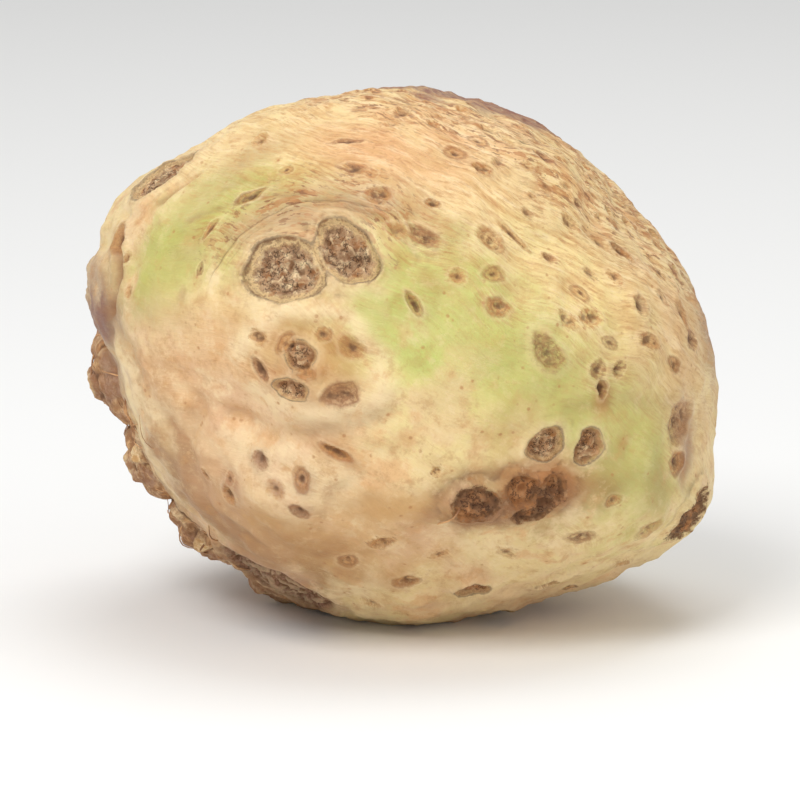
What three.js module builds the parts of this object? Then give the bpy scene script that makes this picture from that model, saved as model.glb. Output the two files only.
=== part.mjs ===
// A celeriac root: the swollen root of a celery plant, with its leaf stalks and long roots trimmed off.
// It is one grown piece. It lies tilted on a small flat spot, with the leaf scar up, to the right and back,
// and the knobbly root end down, to the left and back.
// Millimetres, +Z up. X runs to the right, and a viewer in front looks along +Y.

import * as THREE from "three";
import { ConvexGeometry } from "three/addons/geometries/ConvexGeometry.js";
import { mergeVertices } from "three/addons/utils/BufferGeometryUtils.js";

const DEGREE = Math.PI / 180;
const X = new THREE.Vector3(1, 0, 0);

// The root's middle above the flat spot, and how far it reaches towards the viewer and away.
const MIDDLE = new THREE.Vector3(0.1, 1.5, 52.8);
const DEPTH_FRONT = 58;
const DEPTH_BACK = 56;

// How the photograph was taken: looking down a little, from about 1.2 m.
const LOOK_DOWN = 11 * DEGREE;
const DISTANCE = 1200;
const PHOTO_MIDDLE = [443, 217];
const MM_PER_PIXEL = 0.428;
const UP = new THREE.Vector3(0, Math.sin(LOOK_DOWN), Math.cos(LOOK_DOWN));
const TOWARD = new THREE.Vector3(0, -Math.cos(LOOK_DOWN), Math.sin(LOOK_DOWN));

// The outline that the viewer sees: its reach from the middle every 15 degrees, anticlockwise from the right.
const OUTLINE = [
  62.0, 58.1, 53.7, 52.0, 51.3, 50.5, 51.1, 51.9, 53.8, 56.8, 62.7, 61.1,
  58.0, 54.7, 53.2, 52.6, 52.2, 52.6, 53.6, 53.8, 56.0, 61.5, 67.5, 62.6,
];

// A direction from the middle, by its angle in the outline and its share towards the viewer.
function facing(angle, toward) {
  const flat = Math.sqrt(1 - toward * toward);
  return new THREE.Vector3()
    .addScaledVector(X, flat * Math.cos(angle * DEGREE))
    .addScaledVector(UP, flat * Math.sin(angle * DEGREE))
    .addScaledVector(TOWARD, toward);
}

const CROWN = facing(62, -0.17);
const CROWN_SIZE = { long: 12.5, wide: 10.8 };
const ROOT_END = facing(212, -0.6);
const ROOT_SPREAD = 44;

// Broad swellings and hollows of the body: where, how wide in degrees, and how high.
const LOBES = [
  { at: facing(100, 0.75), spread: 34, height: 1.6 },
  { at: facing(285, 0.72), spread: 30, height: -1.5 },
  { at: facing(280, -0.72), spread: 34, height: 1.8 },
  { at: facing(75, -0.75), spread: 30, height: -2.0 },
  { at: facing(20, -0.8), spread: 26, height: 2.2 },
  { at: facing(150, -0.7), spread: 22, height: -1.8 },
  { at: facing(325, -0.55), spread: 20, height: 1.6 },
  { at: facing(352, -0.62), spread: 13, height: -1.6 },
];

// Smaller swellings and hollows by where they show in the photograph: x, y, width in degrees, height.
const SEEN_LOBES = [
  [402, 178, 15, 1.4],
  [400, 226, 12, 1.9],
  [374, 252, 8, -2.3],
  [430, 259, 9, -1.5],
  [389, 283, 11, 2.9],
  [384, 311, 8, 1.6],
  [340, 232, 8, -1.5],
  [556, 258, 15, 1.3],
  [518, 280, 8, -1.2],
  [478, 290, 5, 2.6],
  [503, 287, 6, 0.8],
];

// Root knobs: where, how wide in degrees, and how far they stand out. Creases run where they meet.
const KNOBS = [
  { at: facing(171, 0.18), spread: 10, height: 2.3 },
  { at: facing(186, -0.2), spread: 12, height: 4.6 },
  { at: facing(204, -0.24), spread: 12, height: 4.8 },
  { at: facing(222, -0.24), spread: 12, height: 4.4 },
  { at: facing(243, -0.34), spread: 13, height: 3.8 },
  { at: facing(164, -0.46), spread: 12, height: 4.4 },
  { at: facing(188, -0.62), spread: 14, height: 7.0 },
  { at: facing(214, -0.66), spread: 16, height: 8.6 },
  { at: facing(240, -0.74), spread: 14, height: 6.6 },
  { at: facing(200, -0.88), spread: 14, height: 6.0 },
  { at: facing(262, -0.6), spread: 13, height: 4.0 },
  { at: facing(150, -0.76), spread: 11, height: 3.2 },
  { at: facing(262, -0.9), spread: 11, height: 3.4 },
];

// A knob's profile runs from a cone at 1 towards a flat top at 0.
const DOME_PROFILE = 0.7;

// Kinds of mark on the skin: a rim round it, a sunken floor and a pit in the middle, as shares of its width.
const KINDS = {
  cork: { rim: 0.13, sink: 0.13, pit: 0.06 },
  bark: { rim: 0.13, sink: 0.01, pit: 0.05 },
  ring: { rim: 0.11, sink: 0.14, pit: 0.14 },
  spot: { rim: 0.1, sink: 0.12, pit: 0.3 },
  slit: { rim: 0.3, sink: 0.35, pit: 0.4 },
  lip: { rim: 0.07, sink: 0, pit: 0 },
};

// Where a mark's rim, the side of its floor and its pit lie, as shares of its size.
const RIM = { at: 1.05, width: 0.24 };
const FLOOR_SIDE = { from: 0.5, to: 0.95 };
const PIT_WIDTH = 0.32;

// Marks by where they show in the photograph: x, y, half length, half width, turn in degrees, kind.
const SEEN_MARKS = [
  [390, 181.5, 8.0, 7.0, 0, "cork"],
  [418, 173.2, 7.4, 5.6, -42, "cork"],
  [402.5, 178.5, 15.4, 9.6, 10, "lip"],
  [378, 212, 1.9, 1.7, 0, "ring"],
  [390.5, 215, 2.4, 1.8, 40, "spot"],
  [397, 220.5, 3.4, 3.0, 0, "cork"],
  [399.5, 228.5, 2.2, 1.8, 0, "spot"],
  [407.5, 211, 1.7, 1.3, 0, "spot"],
  [421, 217, 2.6, 2.0, -20, "spot"],
  [379, 227, 2.9, 1.3, -60, "slit"],
  [393, 236, 3.8, 2.4, -10, "cork"],
  [416, 238.5, 3.6, 2.7, 20, "ring"],
  [314, 166, 3.4, 2.8, 60, "spot"],
  [334, 137, 8.0, 5.2, 42, "cork"],
  [355.5, 161.5, 2.3, 0.9, 55, "slit"],
  [351, 180.5, 1.3, 0.9, 80, "spot"],
  [318.5, 190.5, 1.6, 1.3, 70, "spot"],
  [317.5, 175, 1.3, 1.0, 80, "spot"],
  [378.5, 121, 2.0, 1.4, 20, "spot"],
  [390.5, 134.5, 1.4, 1.1, 20, "spot"],
  [374, 146.5, 3.6, 1.4, 20, "slit"],
  [422, 134.5, 2.6, 1.8, -10, "spot"],
  [429.5, 136.5, 1.5, 1.0, -30, "spot"],
  [432.5, 147, 2.8, 2.1, -15, "ring"],
  [418.5, 121.5, 3.2, 0.9, -5, "slit"],
  [439.5, 113.5, 1.5, 1.2, 0, "spot"],
  [468.5, 127, 2.4, 1.6, -30, "spot"],
  [481, 134.5, 2.2, 1.8, -10, "ring"],
  [488.5, 131.5, 1.6, 1.3, 0, "spot"],
  [510, 142, 1.6, 1.2, -40, "spot"],
  [503.5, 146.5, 1.4, 1.0, -40, "spot"],
  [458, 150.5, 1.7, 0.9, -20, "slit"],
  [441.5, 163.5, 2.3, 1.5, -30, "spot"],
  [453.5, 165.5, 3.2, 2.1, -35, "ring"],
  [484.5, 167, 3.4, 2.1, -40, "ring"],
  [495, 165, 4.6, 0.9, -42, "slit"],
  [486, 183, 2.2, 1.8, 0, "spot"],
  [469.5, 184, 1.7, 1.5, 0, "spot"],
  [449.5, 197, 2.5, 1.2, -60, "slit"],
  [488.5, 198, 2.5, 2.0, 20, "ring"],
  [511, 219, 4.0, 3.0, -40, "ring"],
  [521, 159.5, 2.6, 1.5, -25, "spot"],
  [535, 168.5, 2.2, 1.6, -25, "spot"],
  [545, 172.5, 3.4, 1.0, -15, "slit"],
  [538, 154, 1.3, 1.0, -20, "spot"],
  [549.5, 159, 1.6, 1.2, -30, "spot"],
  [559, 170.5, 2.0, 1.5, -30, "spot"],
  [511, 175.5, 1.6, 1.0, -40, "spot"],
  [501.5, 155, 1.5, 1.0, -30, "spot"],
  [530.5, 182.5, 1.6, 1.2, -30, "spot"],
  [542, 184, 1.8, 1.4, -30, "spot"],
  [563, 182, 1.9, 1.5, -40, "spot"],
  [526.5, 191.5, 2.2, 1.2, -30, "spot"],
  [553.5, 197.5, 2.4, 1.9, -60, "spot"],
  [564, 193.5, 2.0, 1.5, -60, "spot"],
  [573.5, 202, 3.4, 2.2, -50, "spot"],
  [520.5, 204, 2.3, 1.6, -40, "ring"],
  [530.5, 203, 2.4, 2.2, 0, "ring"],
  [540, 214.5, 2.0, 1.3, -20, "spot"],
  [558, 213.5, 3.0, 1.7, -10, "ring"],
  [577, 212, 3.0, 2.0, -20, "spot"],
  [569, 224, 2.3, 1.6, -10, "ring"],
  [534, 227, 2.2, 1.6, 60, "spot"],
  [543, 226.5, 1.7, 1.2, 60, "spot"],
  [535, 235.5, 2.0, 1.2, -70, "slit"],
  [571, 250.5, 5.6, 4.2, 0, "ring"],
  [570, 269, 3.2, 2.4, 0, "ring"],
  [509.5, 261, 3.9, 3.7, 60, "cork"],
  [529.5, 262, 4.1, 2.8, 80, "cork"],
  [498.5, 282, 3.7, 3.2, 40, "bark"],
  [511, 281.5, 4.0, 3.2, 60, "bark"],
  [504, 291, 4.2, 2.6, 10, "bark"],
  [478, 289.5, 4.6, 4.0, 20, "bark"],
  [576.5, 293.5, 6.5, 4.8, 20, "bark"],
  [459.5, 273.5, 1.2, 0.9, 50, "spot"],
  [379, 268.5, 2.0, 1.8, 20, "spot"],
  [385.5, 282, 2.3, 1.6, -40, "spot"],
  [397.5, 277.5, 2.6, 1.9, 80, "spot"],
  [397, 291.5, 2.2, 1.4, -30, "spot"],
  [364.5, 284, 2.2, 1.7, -60, "ring"],
  [364.5, 277, 1.4, 1.0, 70, "spot"],
  [353.5, 275, 1.6, 1.2, 70, "spot"],
  [413.5, 265, 3.8, 1.1, -28, "slit"],
  [419, 314.5, 2.6, 1.8, 60, "ring"],
  [434.5, 306, 2.8, 1.6, 15, "ring"],
];

// Marks on the part of the front that the next root hides in the photograph, in the same terms.
const HIDDEN_MARKS = [
  [446, 324, 2.6, 1.9, 0, "ring"],
  [461, 312, 1.8, 1.2, 20, "spot"],
  [476, 327, 3.6, 2.6, -10, "cork"],
  [492, 311, 2.2, 1.5, -30, "spot"],
  [510, 325, 2.4, 1.8, 10, "ring"],
  [526, 304, 2.8, 2.0, -20, "ring"],
  [541, 287, 1.7, 1.3, 40, "spot"],
  [545, 315, 2.0, 1.4, -40, "spot"],
  [558, 300, 3.2, 2.4, -60, "ring"],
  [430, 334, 1.8, 1.3, 0, "spot"],
];

// Marks where the photograph doesn't look follow a rule: by their angle from the crown in degrees,
// the smallest and largest half length, and the clear skin between two.
const MARK_RULE = [
  { upTo: 42, small: 0.9, large: 1.9, clear: 2.6 },
  { upTo: 62, small: 1.1, large: 2.7, clear: 4.6 },
  { upTo: 95, small: 1.4, large: 5.2, clear: 6.2 },
  { upTo: 180, small: 1.8, large: 4.6, clear: 5.0 },
];
const MARK_TRIES = 12000;
const CORK_FROM = 3.4;
const RING_CHANCE = 0.35;

// The side that the photograph shows has its own marks. Near the crown, the rule adds small ones between.
const SHOWN = { toward: 0.12, upTo: 52, clear: 1.4 };

// Slow waves of growth over the whole body: wavelength and height.
const WAVES = { length: 34, height: 0.55, count: 14 };

// Stubs of cut roots: on each knob of the root end, a millimetre of half width for so many degrees of it,
// and smaller ones between by half width, height and the clear skin between two.
const STUB = { ofKnob: 0.28, small: 1.2, large: 2.4, low: 0.8, high: 2.2, clear: 5.0, tries: 160 };

// The side of a stub's top as shares of its size, and how deep its cut face is dished.
const STUB_SIDE = { from: 0.8, to: 1.25 };
const STUB_DISH = { deep: 0.5, width: 0.5 };

// The crown's scar: its side, leaf bases, growing point and rim, as shares of its size and heights.
const CROWN_SIDE = { from: 0.8, to: 1.1 };
const LEAF_BASES = { high: 0.5, pitch: 0.36, sunk: 1.1 };
const GROWING_POINT = { high: 1.4, width: 0.22 };
const CROWN_RIM = { at: 1.18, high: 0.4, width: 0.16 };

// Spacing of surface points on plain skin, on knobs, in the crown and on the flat spot.
const SPACING = { skin: 4.5, knobs: 2.9, crown: 2.3, flat: 7 };
const POINT_TRIES = 60000;

// Rings of points round each feature: shares of its size, their spacing along the ring, and the least gap
// to other points.
const CROWN_RINGS = { shares: [0, 0.18, 0.36, 0.54, 0.72, 0.9, 1.08, 1.25, 1.5], spacing: 2.4, gap: 1.3 };
const STUB_RINGS = { shares: [0, 0.45, 0.8, 1.02, 1.3], spacing: 1.7, gap: 0.55 };
const LIP_RINGS = { shares: [0.88, 1.05, 1.25], spacing: 2.6 };
const MARK_RINGS = [
  { from: 3, shares: [0, 0.5, 0.85, 1.05, 1.35], spacing: 2.1 },
  { from: 2, shares: [0, 0.6, 1.05, 1.45], spacing: 2.2 },
  { from: 0, shares: [0, 1.05], spacing: 2.0 },
];
const MARK_GAP = { middle: 0.9, ring: 1.1, ofWidth: 0.5 };

// How the skin that shows at a place is found: how far out the search starts, and how often a step is halved.
const SEARCH = { from: 80, halvings: 12 };

// A repeatable draw from 0 to 1.
function chance(index, stream) {
  const wave = Math.sin(index * 12.9898 + stream * 78.233) * 43758.5453;
  return wave - Math.floor(wave);
}

function between(low, high, share) {
  return low + (high - low) * share;
}

// A direction drawn evenly over the sphere.
function drawn(index, stream) {
  const z = 2 * chance(index, stream) - 1;
  const turn = 2 * Math.PI * chance(index, stream + 1);
  const flat = Math.sqrt(1 - z * z);
  return new THREE.Vector3(flat * Math.cos(turn), flat * Math.sin(turn), z);
}

function smoothstep(low, high, x) {
  const t = Math.min(1, Math.max(0, (x - low) / (high - low)));
  return t * t * (3 - 2 * t);
}

function bell(x, width) {
  return Math.exp(-((x / width) ** 2));
}

function angleBetween(a, b) {
  return Math.acos(Math.min(1, Math.max(-1, a.dot(b)))) / DEGREE;
}

// The outline's reach at an angle in radians, on a smooth closed curve through its points.
function outlineReach(angle) {
  const count = OUTLINE.length;
  const place = (((angle / (2 * Math.PI)) % 1) + 1) * count;
  const first = Math.floor(place);
  const t = place - first;
  const [a, b, c, d] = [-1, 0, 1, 2].map((step) => OUTLINE[(first + step + count) % count]);
  const cubic = 2 * a - 5 * b + 4 * c - d + (3 * (b - c) + d - a) * t;
  return b + 0.5 * t * (c - a + t * cubic);
}

function swelling(direction, lobe) {
  return lobe.height * Math.exp((direction.dot(lobe.at) - 1) / (1 - Math.cos(lobe.spread * DEGREE)));
}

const waves = Array.from({ length: WAVES.count }, (_, i) => ({
  way: drawn(i, 31).multiplyScalar((2 * Math.PI * DEPTH_FRONT) / WAVES.length),
  phase: 2 * Math.PI * chance(i, 33),
}));

function growthWaves(direction) {
  const sum = waves.reduce((total, wave) => total + Math.sin(direction.dot(wave.way) + wave.phase), 0);
  return (WAVES.height * sum) / Math.sqrt(WAVES.count / 2);
}

// The plain rounded form: the outline swept to the front and to the back.
function plainReach(direction) {
  const across = direction.dot(X);
  const rise = direction.dot(UP);
  const toward = direction.dot(TOWARD);
  const depth = toward > 0 ? DEPTH_FRONT : DEPTH_BACK;
  const reach = outlineReach(Math.atan2(rise, across));
  const even = 1 / Math.sqrt((across ** 2 + rise ** 2) / reach ** 2 + (toward / depth) ** 2);
  return LOBES.reduce((sum, lobe) => sum + swelling(direction, lobe), even);
}

// The direction of the skin that shows at a place in the photograph.
function seen(x, y, reachOf) {
  const aim = MIDDLE.clone()
    .addScaledVector(X, (x - PHOTO_MIDDLE[0]) * MM_PER_PIXEL)
    .addScaledVector(UP, (PHOTO_MIDDLE[1] - y) * MM_PER_PIXEL);
  const back = MIDDLE.clone().addScaledVector(TOWARD, DISTANCE).sub(aim).normalize();
  const outside = (step) => {
    const offset = aim.clone().addScaledVector(back, step).sub(MIDDLE);
    const length = offset.length();
    return length > reachOf(offset.normalize());
  };
  let near = SEARCH.from;
  while (near > 0 && outside(near - 1)) near -= 1;
  let far = near - 1;
  for (let halving = 0; halving < SEARCH.halvings; halving += 1) {
    const half = (near + far) / 2;
    if (outside(half)) near = half;
    else far = half;
  }
  return aim.clone().addScaledVector(back, near).sub(MIDDLE).normalize();
}

const seenLobes = SEEN_LOBES.map(([x, y, spread, height]) => {
  return { at: seen(x, y, plainReach), spread, height };
});

// A knob is a round dome, so two that meet leave a crease between them.
function domeHeight(direction, knob) {
  const share = angleBetween(direction, knob.at) / knob.spread;
  return share < 1 ? knob.height * (1 - share * share) ** DOME_PROFILE : 0;
}

// The body with its swellings, knobs and sunken crown, before the small relief.
function bodyReach(direction) {
  const swollen = seenLobes.reduce((sum, lobe) => sum + swelling(direction, lobe), plainReach(direction));
  const knobs = Math.max(...KNOBS.map((knob) => domeHeight(direction, knob)));
  return swollen + knobs + growthWaves(direction);
}

function bodyPoint(direction) {
  return MIDDLE.clone().addScaledVector(direction, bodyReach(direction));
}

// A place on the body with the directions of its length and width on the skin.
function placed(at, long, wide, lengthways, more) {
  const along = lengthways.clone().addScaledVector(at, -lengthways.dot(at)).normalize();
  return { at, point: bodyPoint(at), along, across: at.clone().cross(along), long, wide, ...more };
}

// How far a point is from a placed mark's middle, where 1 is its edge.
function shareOut(point, mark) {
  const offset = point.clone().sub(mark.point);
  return Math.hypot(offset.dot(mark.along) / mark.long, offset.dot(mark.across) / mark.wide);
}

function seenMarks() {
  return [...SEEN_MARKS, ...HIDDEN_MARKS].map(([x, y, long, wide, turn, kind]) => {
    const lengthways = X.clone()
      .multiplyScalar(Math.cos(turn * DEGREE))
      .addScaledVector(UP, Math.sin(turn * DEGREE));
    return placed(seen(x, y, bodyReach), long, wide, lengthways, { kind });
  });
}

// Marks by the rule, lying along the rings of growth round the crown.
function ruledMarks(others) {
  const marks = [];
  for (let i = 0; i < MARK_TRIES; i += 1) {
    const at = drawn(i, 1);
    const fromCrown = angleBetween(at, CROWN);
    const rule = MARK_RULE.find((row) => fromCrown < row.upTo);
    const long = between(rule.small, rule.large, chance(i, 3) ** 2);
    const wide = long * between(0.6, 0.95, chance(i, 4));
    const shown = at.dot(TOWARD) > SHOWN.toward;
    const free = [...others, ...marks].every((mark) => {
      const gap = Math.max(long, wide) + mark.long + (shown ? SHOWN.clear : rule.clear);
      return mark.at.distanceTo(at) * DEPTH_FRONT > gap;
    });
    const inCrown = fromCrown * DEGREE * DEPTH_FRONT < CROWN_SIZE.long + long + 1;
    if (!free || inCrown || (shown && fromCrown > SHOWN.upTo)) continue;
    const small = chance(i, 5) < RING_CHANCE ? "ring" : "spot";
    const kind = long > CORK_FROM ? "cork" : small;
    const round = CROWN.clone().cross(at).addScaledVector(CROWN, 0.6 * (chance(i, 6) - 0.5));
    marks.push(placed(at, long, wide, round, { kind }));
  }
  return marks;
}

function rootStubs() {
  const rooted = KNOBS.filter((knob) => angleBetween(knob.at, ROOT_END) < ROOT_SPREAD);
  const stubs = rooted.map((knob, i) => {
    const half = STUB.ofKnob * knob.spread;
    const wide = half * between(0.75, 1, chance(i, 17));
    return placed(knob.at, half, wide, X, { height: between(STUB.low, STUB.high, chance(i, 18)) });
  });
  for (let i = 0; i < STUB.tries; i += 1) {
    const at = drawn(i, 11);
    const half = between(STUB.small, STUB.large, chance(i, 13));
    const height = between(STUB.low, STUB.high, chance(i, 14));
    const free = stubs.every((stub) => {
      return stub.at.distanceTo(at) * DEPTH_BACK > half + stub.long + STUB.clear;
    });
    if (!free || angleBetween(at, ROOT_END) > ROOT_SPREAD) continue;
    stubs.push(placed(at, half, half * between(0.75, 1, chance(i, 15)), X, { height }));
  }
  return stubs;
}

const crown = placed(CROWN, CROWN_SIZE.long, CROWN_SIZE.wide, X, {});
const stubs = rootStubs();
const listedMarks = seenMarks();
const marks = [...listedMarks, ...ruledMarks([...listedMarks, ...stubs])];

function markRelief(point) {
  let height = 0;
  for (const mark of marks) {
    if (mark.point.distanceTo(point) > 2 * mark.long) continue;
    const share = shareOut(point, mark);
    const { rim, sink, pit } = KINDS[mark.kind];
    height += mark.wide * rim * bell(share - RIM.at, RIM.width);
    height -= mark.wide * sink * (1 - smoothstep(FLOOR_SIDE.from, FLOOR_SIDE.to, share));
    height -= mark.wide * pit * bell(share, PIT_WIDTH);
  }
  return height;
}

function stubRelief(point) {
  let height = 0;
  for (const stub of stubs) {
    if (stub.point.distanceTo(point) > 2 * stub.long) continue;
    const share = shareOut(point, stub);
    height += stub.height * (1 - smoothstep(STUB_SIDE.from, STUB_SIDE.to, share));
    height -= STUB_DISH.deep * bell(share, STUB_DISH.width);
  }
  return height;
}

// The crown is a sunken scar, where uneven leaf bases wind round a low growing point.
function crownRelief(point) {
  if (point.distanceTo(crown.point) > 1.6 * crown.long) return 0;
  const offset = point.clone().sub(crown.point);
  const turn = Math.atan2(offset.dot(crown.across), offset.dot(crown.along));
  const uneven = 1 + 0.05 * Math.sin(3 * turn + 1) + 0.04 * Math.sin(5 * turn);
  const out = shareOut(point, crown) * uneven;
  const inside = 1 - smoothstep(CROWN_SIDE.from, CROWN_SIDE.to, out);
  const winding = (2 * Math.PI * out) / LEAF_BASES.pitch + turn + 0.9 * Math.sin(4 * turn);
  const leafBases = LEAF_BASES.high * Math.cos(winding) - LEAF_BASES.sunk;
  const growingPoint = GROWING_POINT.high * bell(out, GROWING_POINT.width);
  return inside * (leafBases + growingPoint) + CROWN_RIM.high * bell(out - CROWN_RIM.at, CROWN_RIM.width);
}

// The skin in a direction from the middle, cut level where the root rests.
function skinPoint(direction) {
  const point = bodyPoint(direction);
  const relief = markRelief(point) + stubRelief(point) + crownRelief(point);
  point.addScaledVector(direction, relief);
  point.z = Math.max(0, point.z);
  return point;
}

// Directions of rings of points round a mark or stub, at shares of its size.
function ringsRound(mark, { shares, spacing }) {
  return shares.flatMap((share) => {
    const round = Math.PI * share * (mark.long + mark.wide);
    const count = share === 0 ? 1 : Math.max(6, Math.round(round / spacing));
    return Array.from({ length: count }, (_, i) => {
      const turn = (2 * Math.PI * (i + share)) / count;
      return mark.point
        .clone()
        .addScaledVector(mark.along, share * mark.long * Math.cos(turn))
        .addScaledVector(mark.across, share * mark.wide * Math.sin(turn))
        .sub(MIDDLE)
        .normalize();
    });
  });
}

function markRings(mark) {
  const bySize = MARK_RINGS.find((rings) => mark.long > rings.from);
  return ringsRound(mark, mark.kind === "lip" ? LIP_RINGS : bySize);
}

function spacingAt(direction) {
  if (bodyPoint(direction).z < 0) return SPACING.flat;
  if (angleBetween(direction, CROWN) * DEGREE * DEPTH_BACK < crown.long) return SPACING.crown;
  const onKnob = KNOBS.some((knob) => angleBetween(direction, knob.at) < knob.spread + 1);
  return onKnob ? SPACING.knobs : SPACING.skin;
}

// The surface points as directions: rings on every feature first, then the skin between them.
function surfaceDirections() {
  const kept = [];
  const keep = (direction, spacing) => {
    const least = spacing / DEPTH_FRONT;
    if (kept.every((other) => other.distanceToSquared(direction) > least * least)) kept.push(direction);
  };
  const bySize = [...marks].sort((a, b) => b.long - a.long);
  bySize.forEach((mark) => keep(mark.at, MARK_GAP.middle));
  ringsRound(crown, CROWN_RINGS).forEach((direction) => keep(direction, CROWN_RINGS.gap));
  for (const stub of stubs) {
    ringsRound(stub, STUB_RINGS).forEach((direction) => keep(direction, STUB_RINGS.gap));
  }
  for (const mark of bySize) {
    const gap = Math.min(MARK_GAP.ring, MARK_GAP.ofWidth * mark.wide);
    markRings(mark).forEach((direction) => keep(direction, gap));
  }
  for (let i = 0; i < POINT_TRIES; i += 1) {
    const direction = drawn(i, 21);
    keep(direction, spacingAt(direction));
  }
  return kept;
}

// The hull of the directions on a sphere joins them into triangles, and each is then moved out to the skin.
function skinGeometry() {
  const sphere = new ConvexGeometry(surfaceDirections());
  sphere.deleteAttribute("normal");
  const geometry = mergeVertices(sphere, 1e-6);
  const position = geometry.getAttribute("position");
  const direction = new THREE.Vector3();
  for (let i = 0; i < position.count; i += 1) {
    direction.fromBufferAttribute(position, i).normalize();
    position.setXYZ(i, ...skinPoint(direction).toArray());
  }
  geometry.computeVertexNormals();
  return geometry;
}

const skin = new THREE.MeshStandardMaterial({ color: 0xe3c594, roughness: 0.62, metalness: 0 });
const root = new THREE.Mesh(skinGeometry(), skin);
root.name = "celeriac_root";

const part = new THREE.Group();
part.add(root);

export default part;
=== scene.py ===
"""A celeriac root, dressed for a photograph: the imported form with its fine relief, colours and rootlets."""

import math

import bmesh
import bpy
import numpy as np
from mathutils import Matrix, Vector


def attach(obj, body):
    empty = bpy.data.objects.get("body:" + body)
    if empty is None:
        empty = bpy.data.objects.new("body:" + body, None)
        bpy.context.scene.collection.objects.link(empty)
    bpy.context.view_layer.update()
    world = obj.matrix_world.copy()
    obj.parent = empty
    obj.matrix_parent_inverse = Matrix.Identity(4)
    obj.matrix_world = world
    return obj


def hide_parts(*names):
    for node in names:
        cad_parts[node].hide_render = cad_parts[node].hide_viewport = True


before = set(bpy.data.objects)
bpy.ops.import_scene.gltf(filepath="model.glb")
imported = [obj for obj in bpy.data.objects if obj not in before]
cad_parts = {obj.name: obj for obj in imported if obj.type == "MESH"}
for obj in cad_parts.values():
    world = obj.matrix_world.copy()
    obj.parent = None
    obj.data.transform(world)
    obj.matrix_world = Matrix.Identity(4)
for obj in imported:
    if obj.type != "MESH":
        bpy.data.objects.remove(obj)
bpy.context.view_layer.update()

# The form is worked out in millimetres, as the solid is, and its mesh is written in metres.
METRE = 0.001
DEGREE = math.pi / 180
X = np.array((1.0, 0.0, 0.0))

# The root's middle above the flat spot, and how far it reaches towards the viewer and away.
MIDDLE = np.array((0.1, 1.5, 52.8))
DEPTH_FRONT = 58
DEPTH_BACK = 56

# How the photograph was taken: looking down a little, from about 1.2 m.
LOOK_DOWN = 11 * DEGREE
DISTANCE = 1200
PHOTO_MIDDLE = (443, 217)
MM_PER_PIXEL = 0.428
UP = np.array((0, math.sin(LOOK_DOWN), math.cos(LOOK_DOWN)))
TOWARD = np.array((0, -math.cos(LOOK_DOWN), math.sin(LOOK_DOWN)))

# The outline that the viewer sees: its reach from the middle every 15 degrees, anticlockwise from the right.
OUTLINE = np.array((
    62.0, 58.1, 53.7, 52.0, 51.3, 50.5, 51.1, 51.9, 53.8, 56.8, 62.7, 61.1,
    58.0, 54.7, 53.2, 52.6, 52.2, 52.6, 53.6, 53.8, 56.0, 61.5, 67.5, 62.6,
))


def facing(angle, toward):
    """A direction from the middle, by its angle in the outline and its share towards the viewer."""
    flat = math.sqrt(1 - toward * toward)
    angle *= DEGREE
    return flat * math.cos(angle) * X + flat * math.sin(angle) * UP + toward * TOWARD


CROWN = facing(62, -0.17)
CROWN_LONG = 12.5
CROWN_WIDE = 10.8
ROOT_END = facing(212, -0.6)
ROOT_SPREAD = 44

# Broad swellings and hollows of the body: where, how wide in degrees, and how high.
LOBES = (
    (facing(100, 0.75), 34, 1.6),
    (facing(285, 0.72), 30, -1.5),
    (facing(280, -0.72), 34, 1.8),
    (facing(75, -0.75), 30, -2.0),
    (facing(20, -0.8), 26, 2.2),
    (facing(150, -0.7), 22, -1.8),
    (facing(325, -0.55), 20, 1.6),
    (facing(352, -0.62), 13, -1.6),
)

# Smaller swellings and hollows by where they show in the photograph: x, y, width in degrees, height.
SEEN_LOBES = (
    (402, 178, 15, 1.4),
    (400, 226, 12, 1.9),
    (374, 252, 8, -2.3),
    (430, 259, 9, -1.5),
    (389, 283, 11, 2.9),
    (384, 311, 8, 1.6),
    (340, 232, 8, -1.5),
    (556, 258, 15, 1.3),
    (518, 280, 8, -1.2),
    (478, 290, 5, 2.6),
    (503, 287, 6, 0.8),
)

# Root knobs: where, how wide in degrees, and how far they stand out. Creases run where they meet.
KNOBS = (
    (facing(171, 0.18), 10, 2.3),
    (facing(186, -0.2), 12, 4.6),
    (facing(204, -0.24), 12, 4.8),
    (facing(222, -0.24), 12, 4.4),
    (facing(243, -0.34), 13, 3.8),
    (facing(164, -0.46), 12, 4.4),
    (facing(188, -0.62), 14, 7.0),
    (facing(214, -0.66), 16, 8.6),
    (facing(240, -0.74), 14, 6.6),
    (facing(200, -0.88), 14, 6.0),
    (facing(262, -0.6), 13, 4.0),
    (facing(150, -0.76), 11, 3.2),
    (facing(262, -0.9), 11, 3.4),
)

# The middle of the stain of old leaf bases round the crown.
STAIN = facing(74, -0.12)

# Kinds of mark on the skin: a rim round it, a sunken floor and a pit in the middle, as shares of its width,
# how rough its floor is in millimetres, and how brown it is.
KINDS = {
    "cork": {"rim": 0.08, "sink": 0.13, "pit": 0.04, "crust": 0.5, "brown": 0.85},
    "bark": {"rim": 0.13, "sink": 0.01, "pit": 0.05, "crust": 0.6, "brown": 1.0},
    "ring": {"rim": 0.1, "sink": 0.14, "pit": 0.14, "crust": 0.22, "brown": 0.85},
    "spot": {"rim": 0.09, "sink": 0.12, "pit": 0.3, "crust": 0.08, "brown": 0.72},
    "slit": {"rim": 0.22, "sink": 0.35, "pit": 0.4, "crust": 0.1, "brown": 0.9},
    "lip": {"rim": 0.07, "sink": 0, "pit": 0, "crust": 0, "brown": 0},
}

CORKY = ("cork", "bark")

# How much of a mark's outline may fade into a smudge, by kind.
FADED = {"cork": 0, "bark": 0, "ring": 0.75, "spot": 1, "slit": 0.3}

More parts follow.
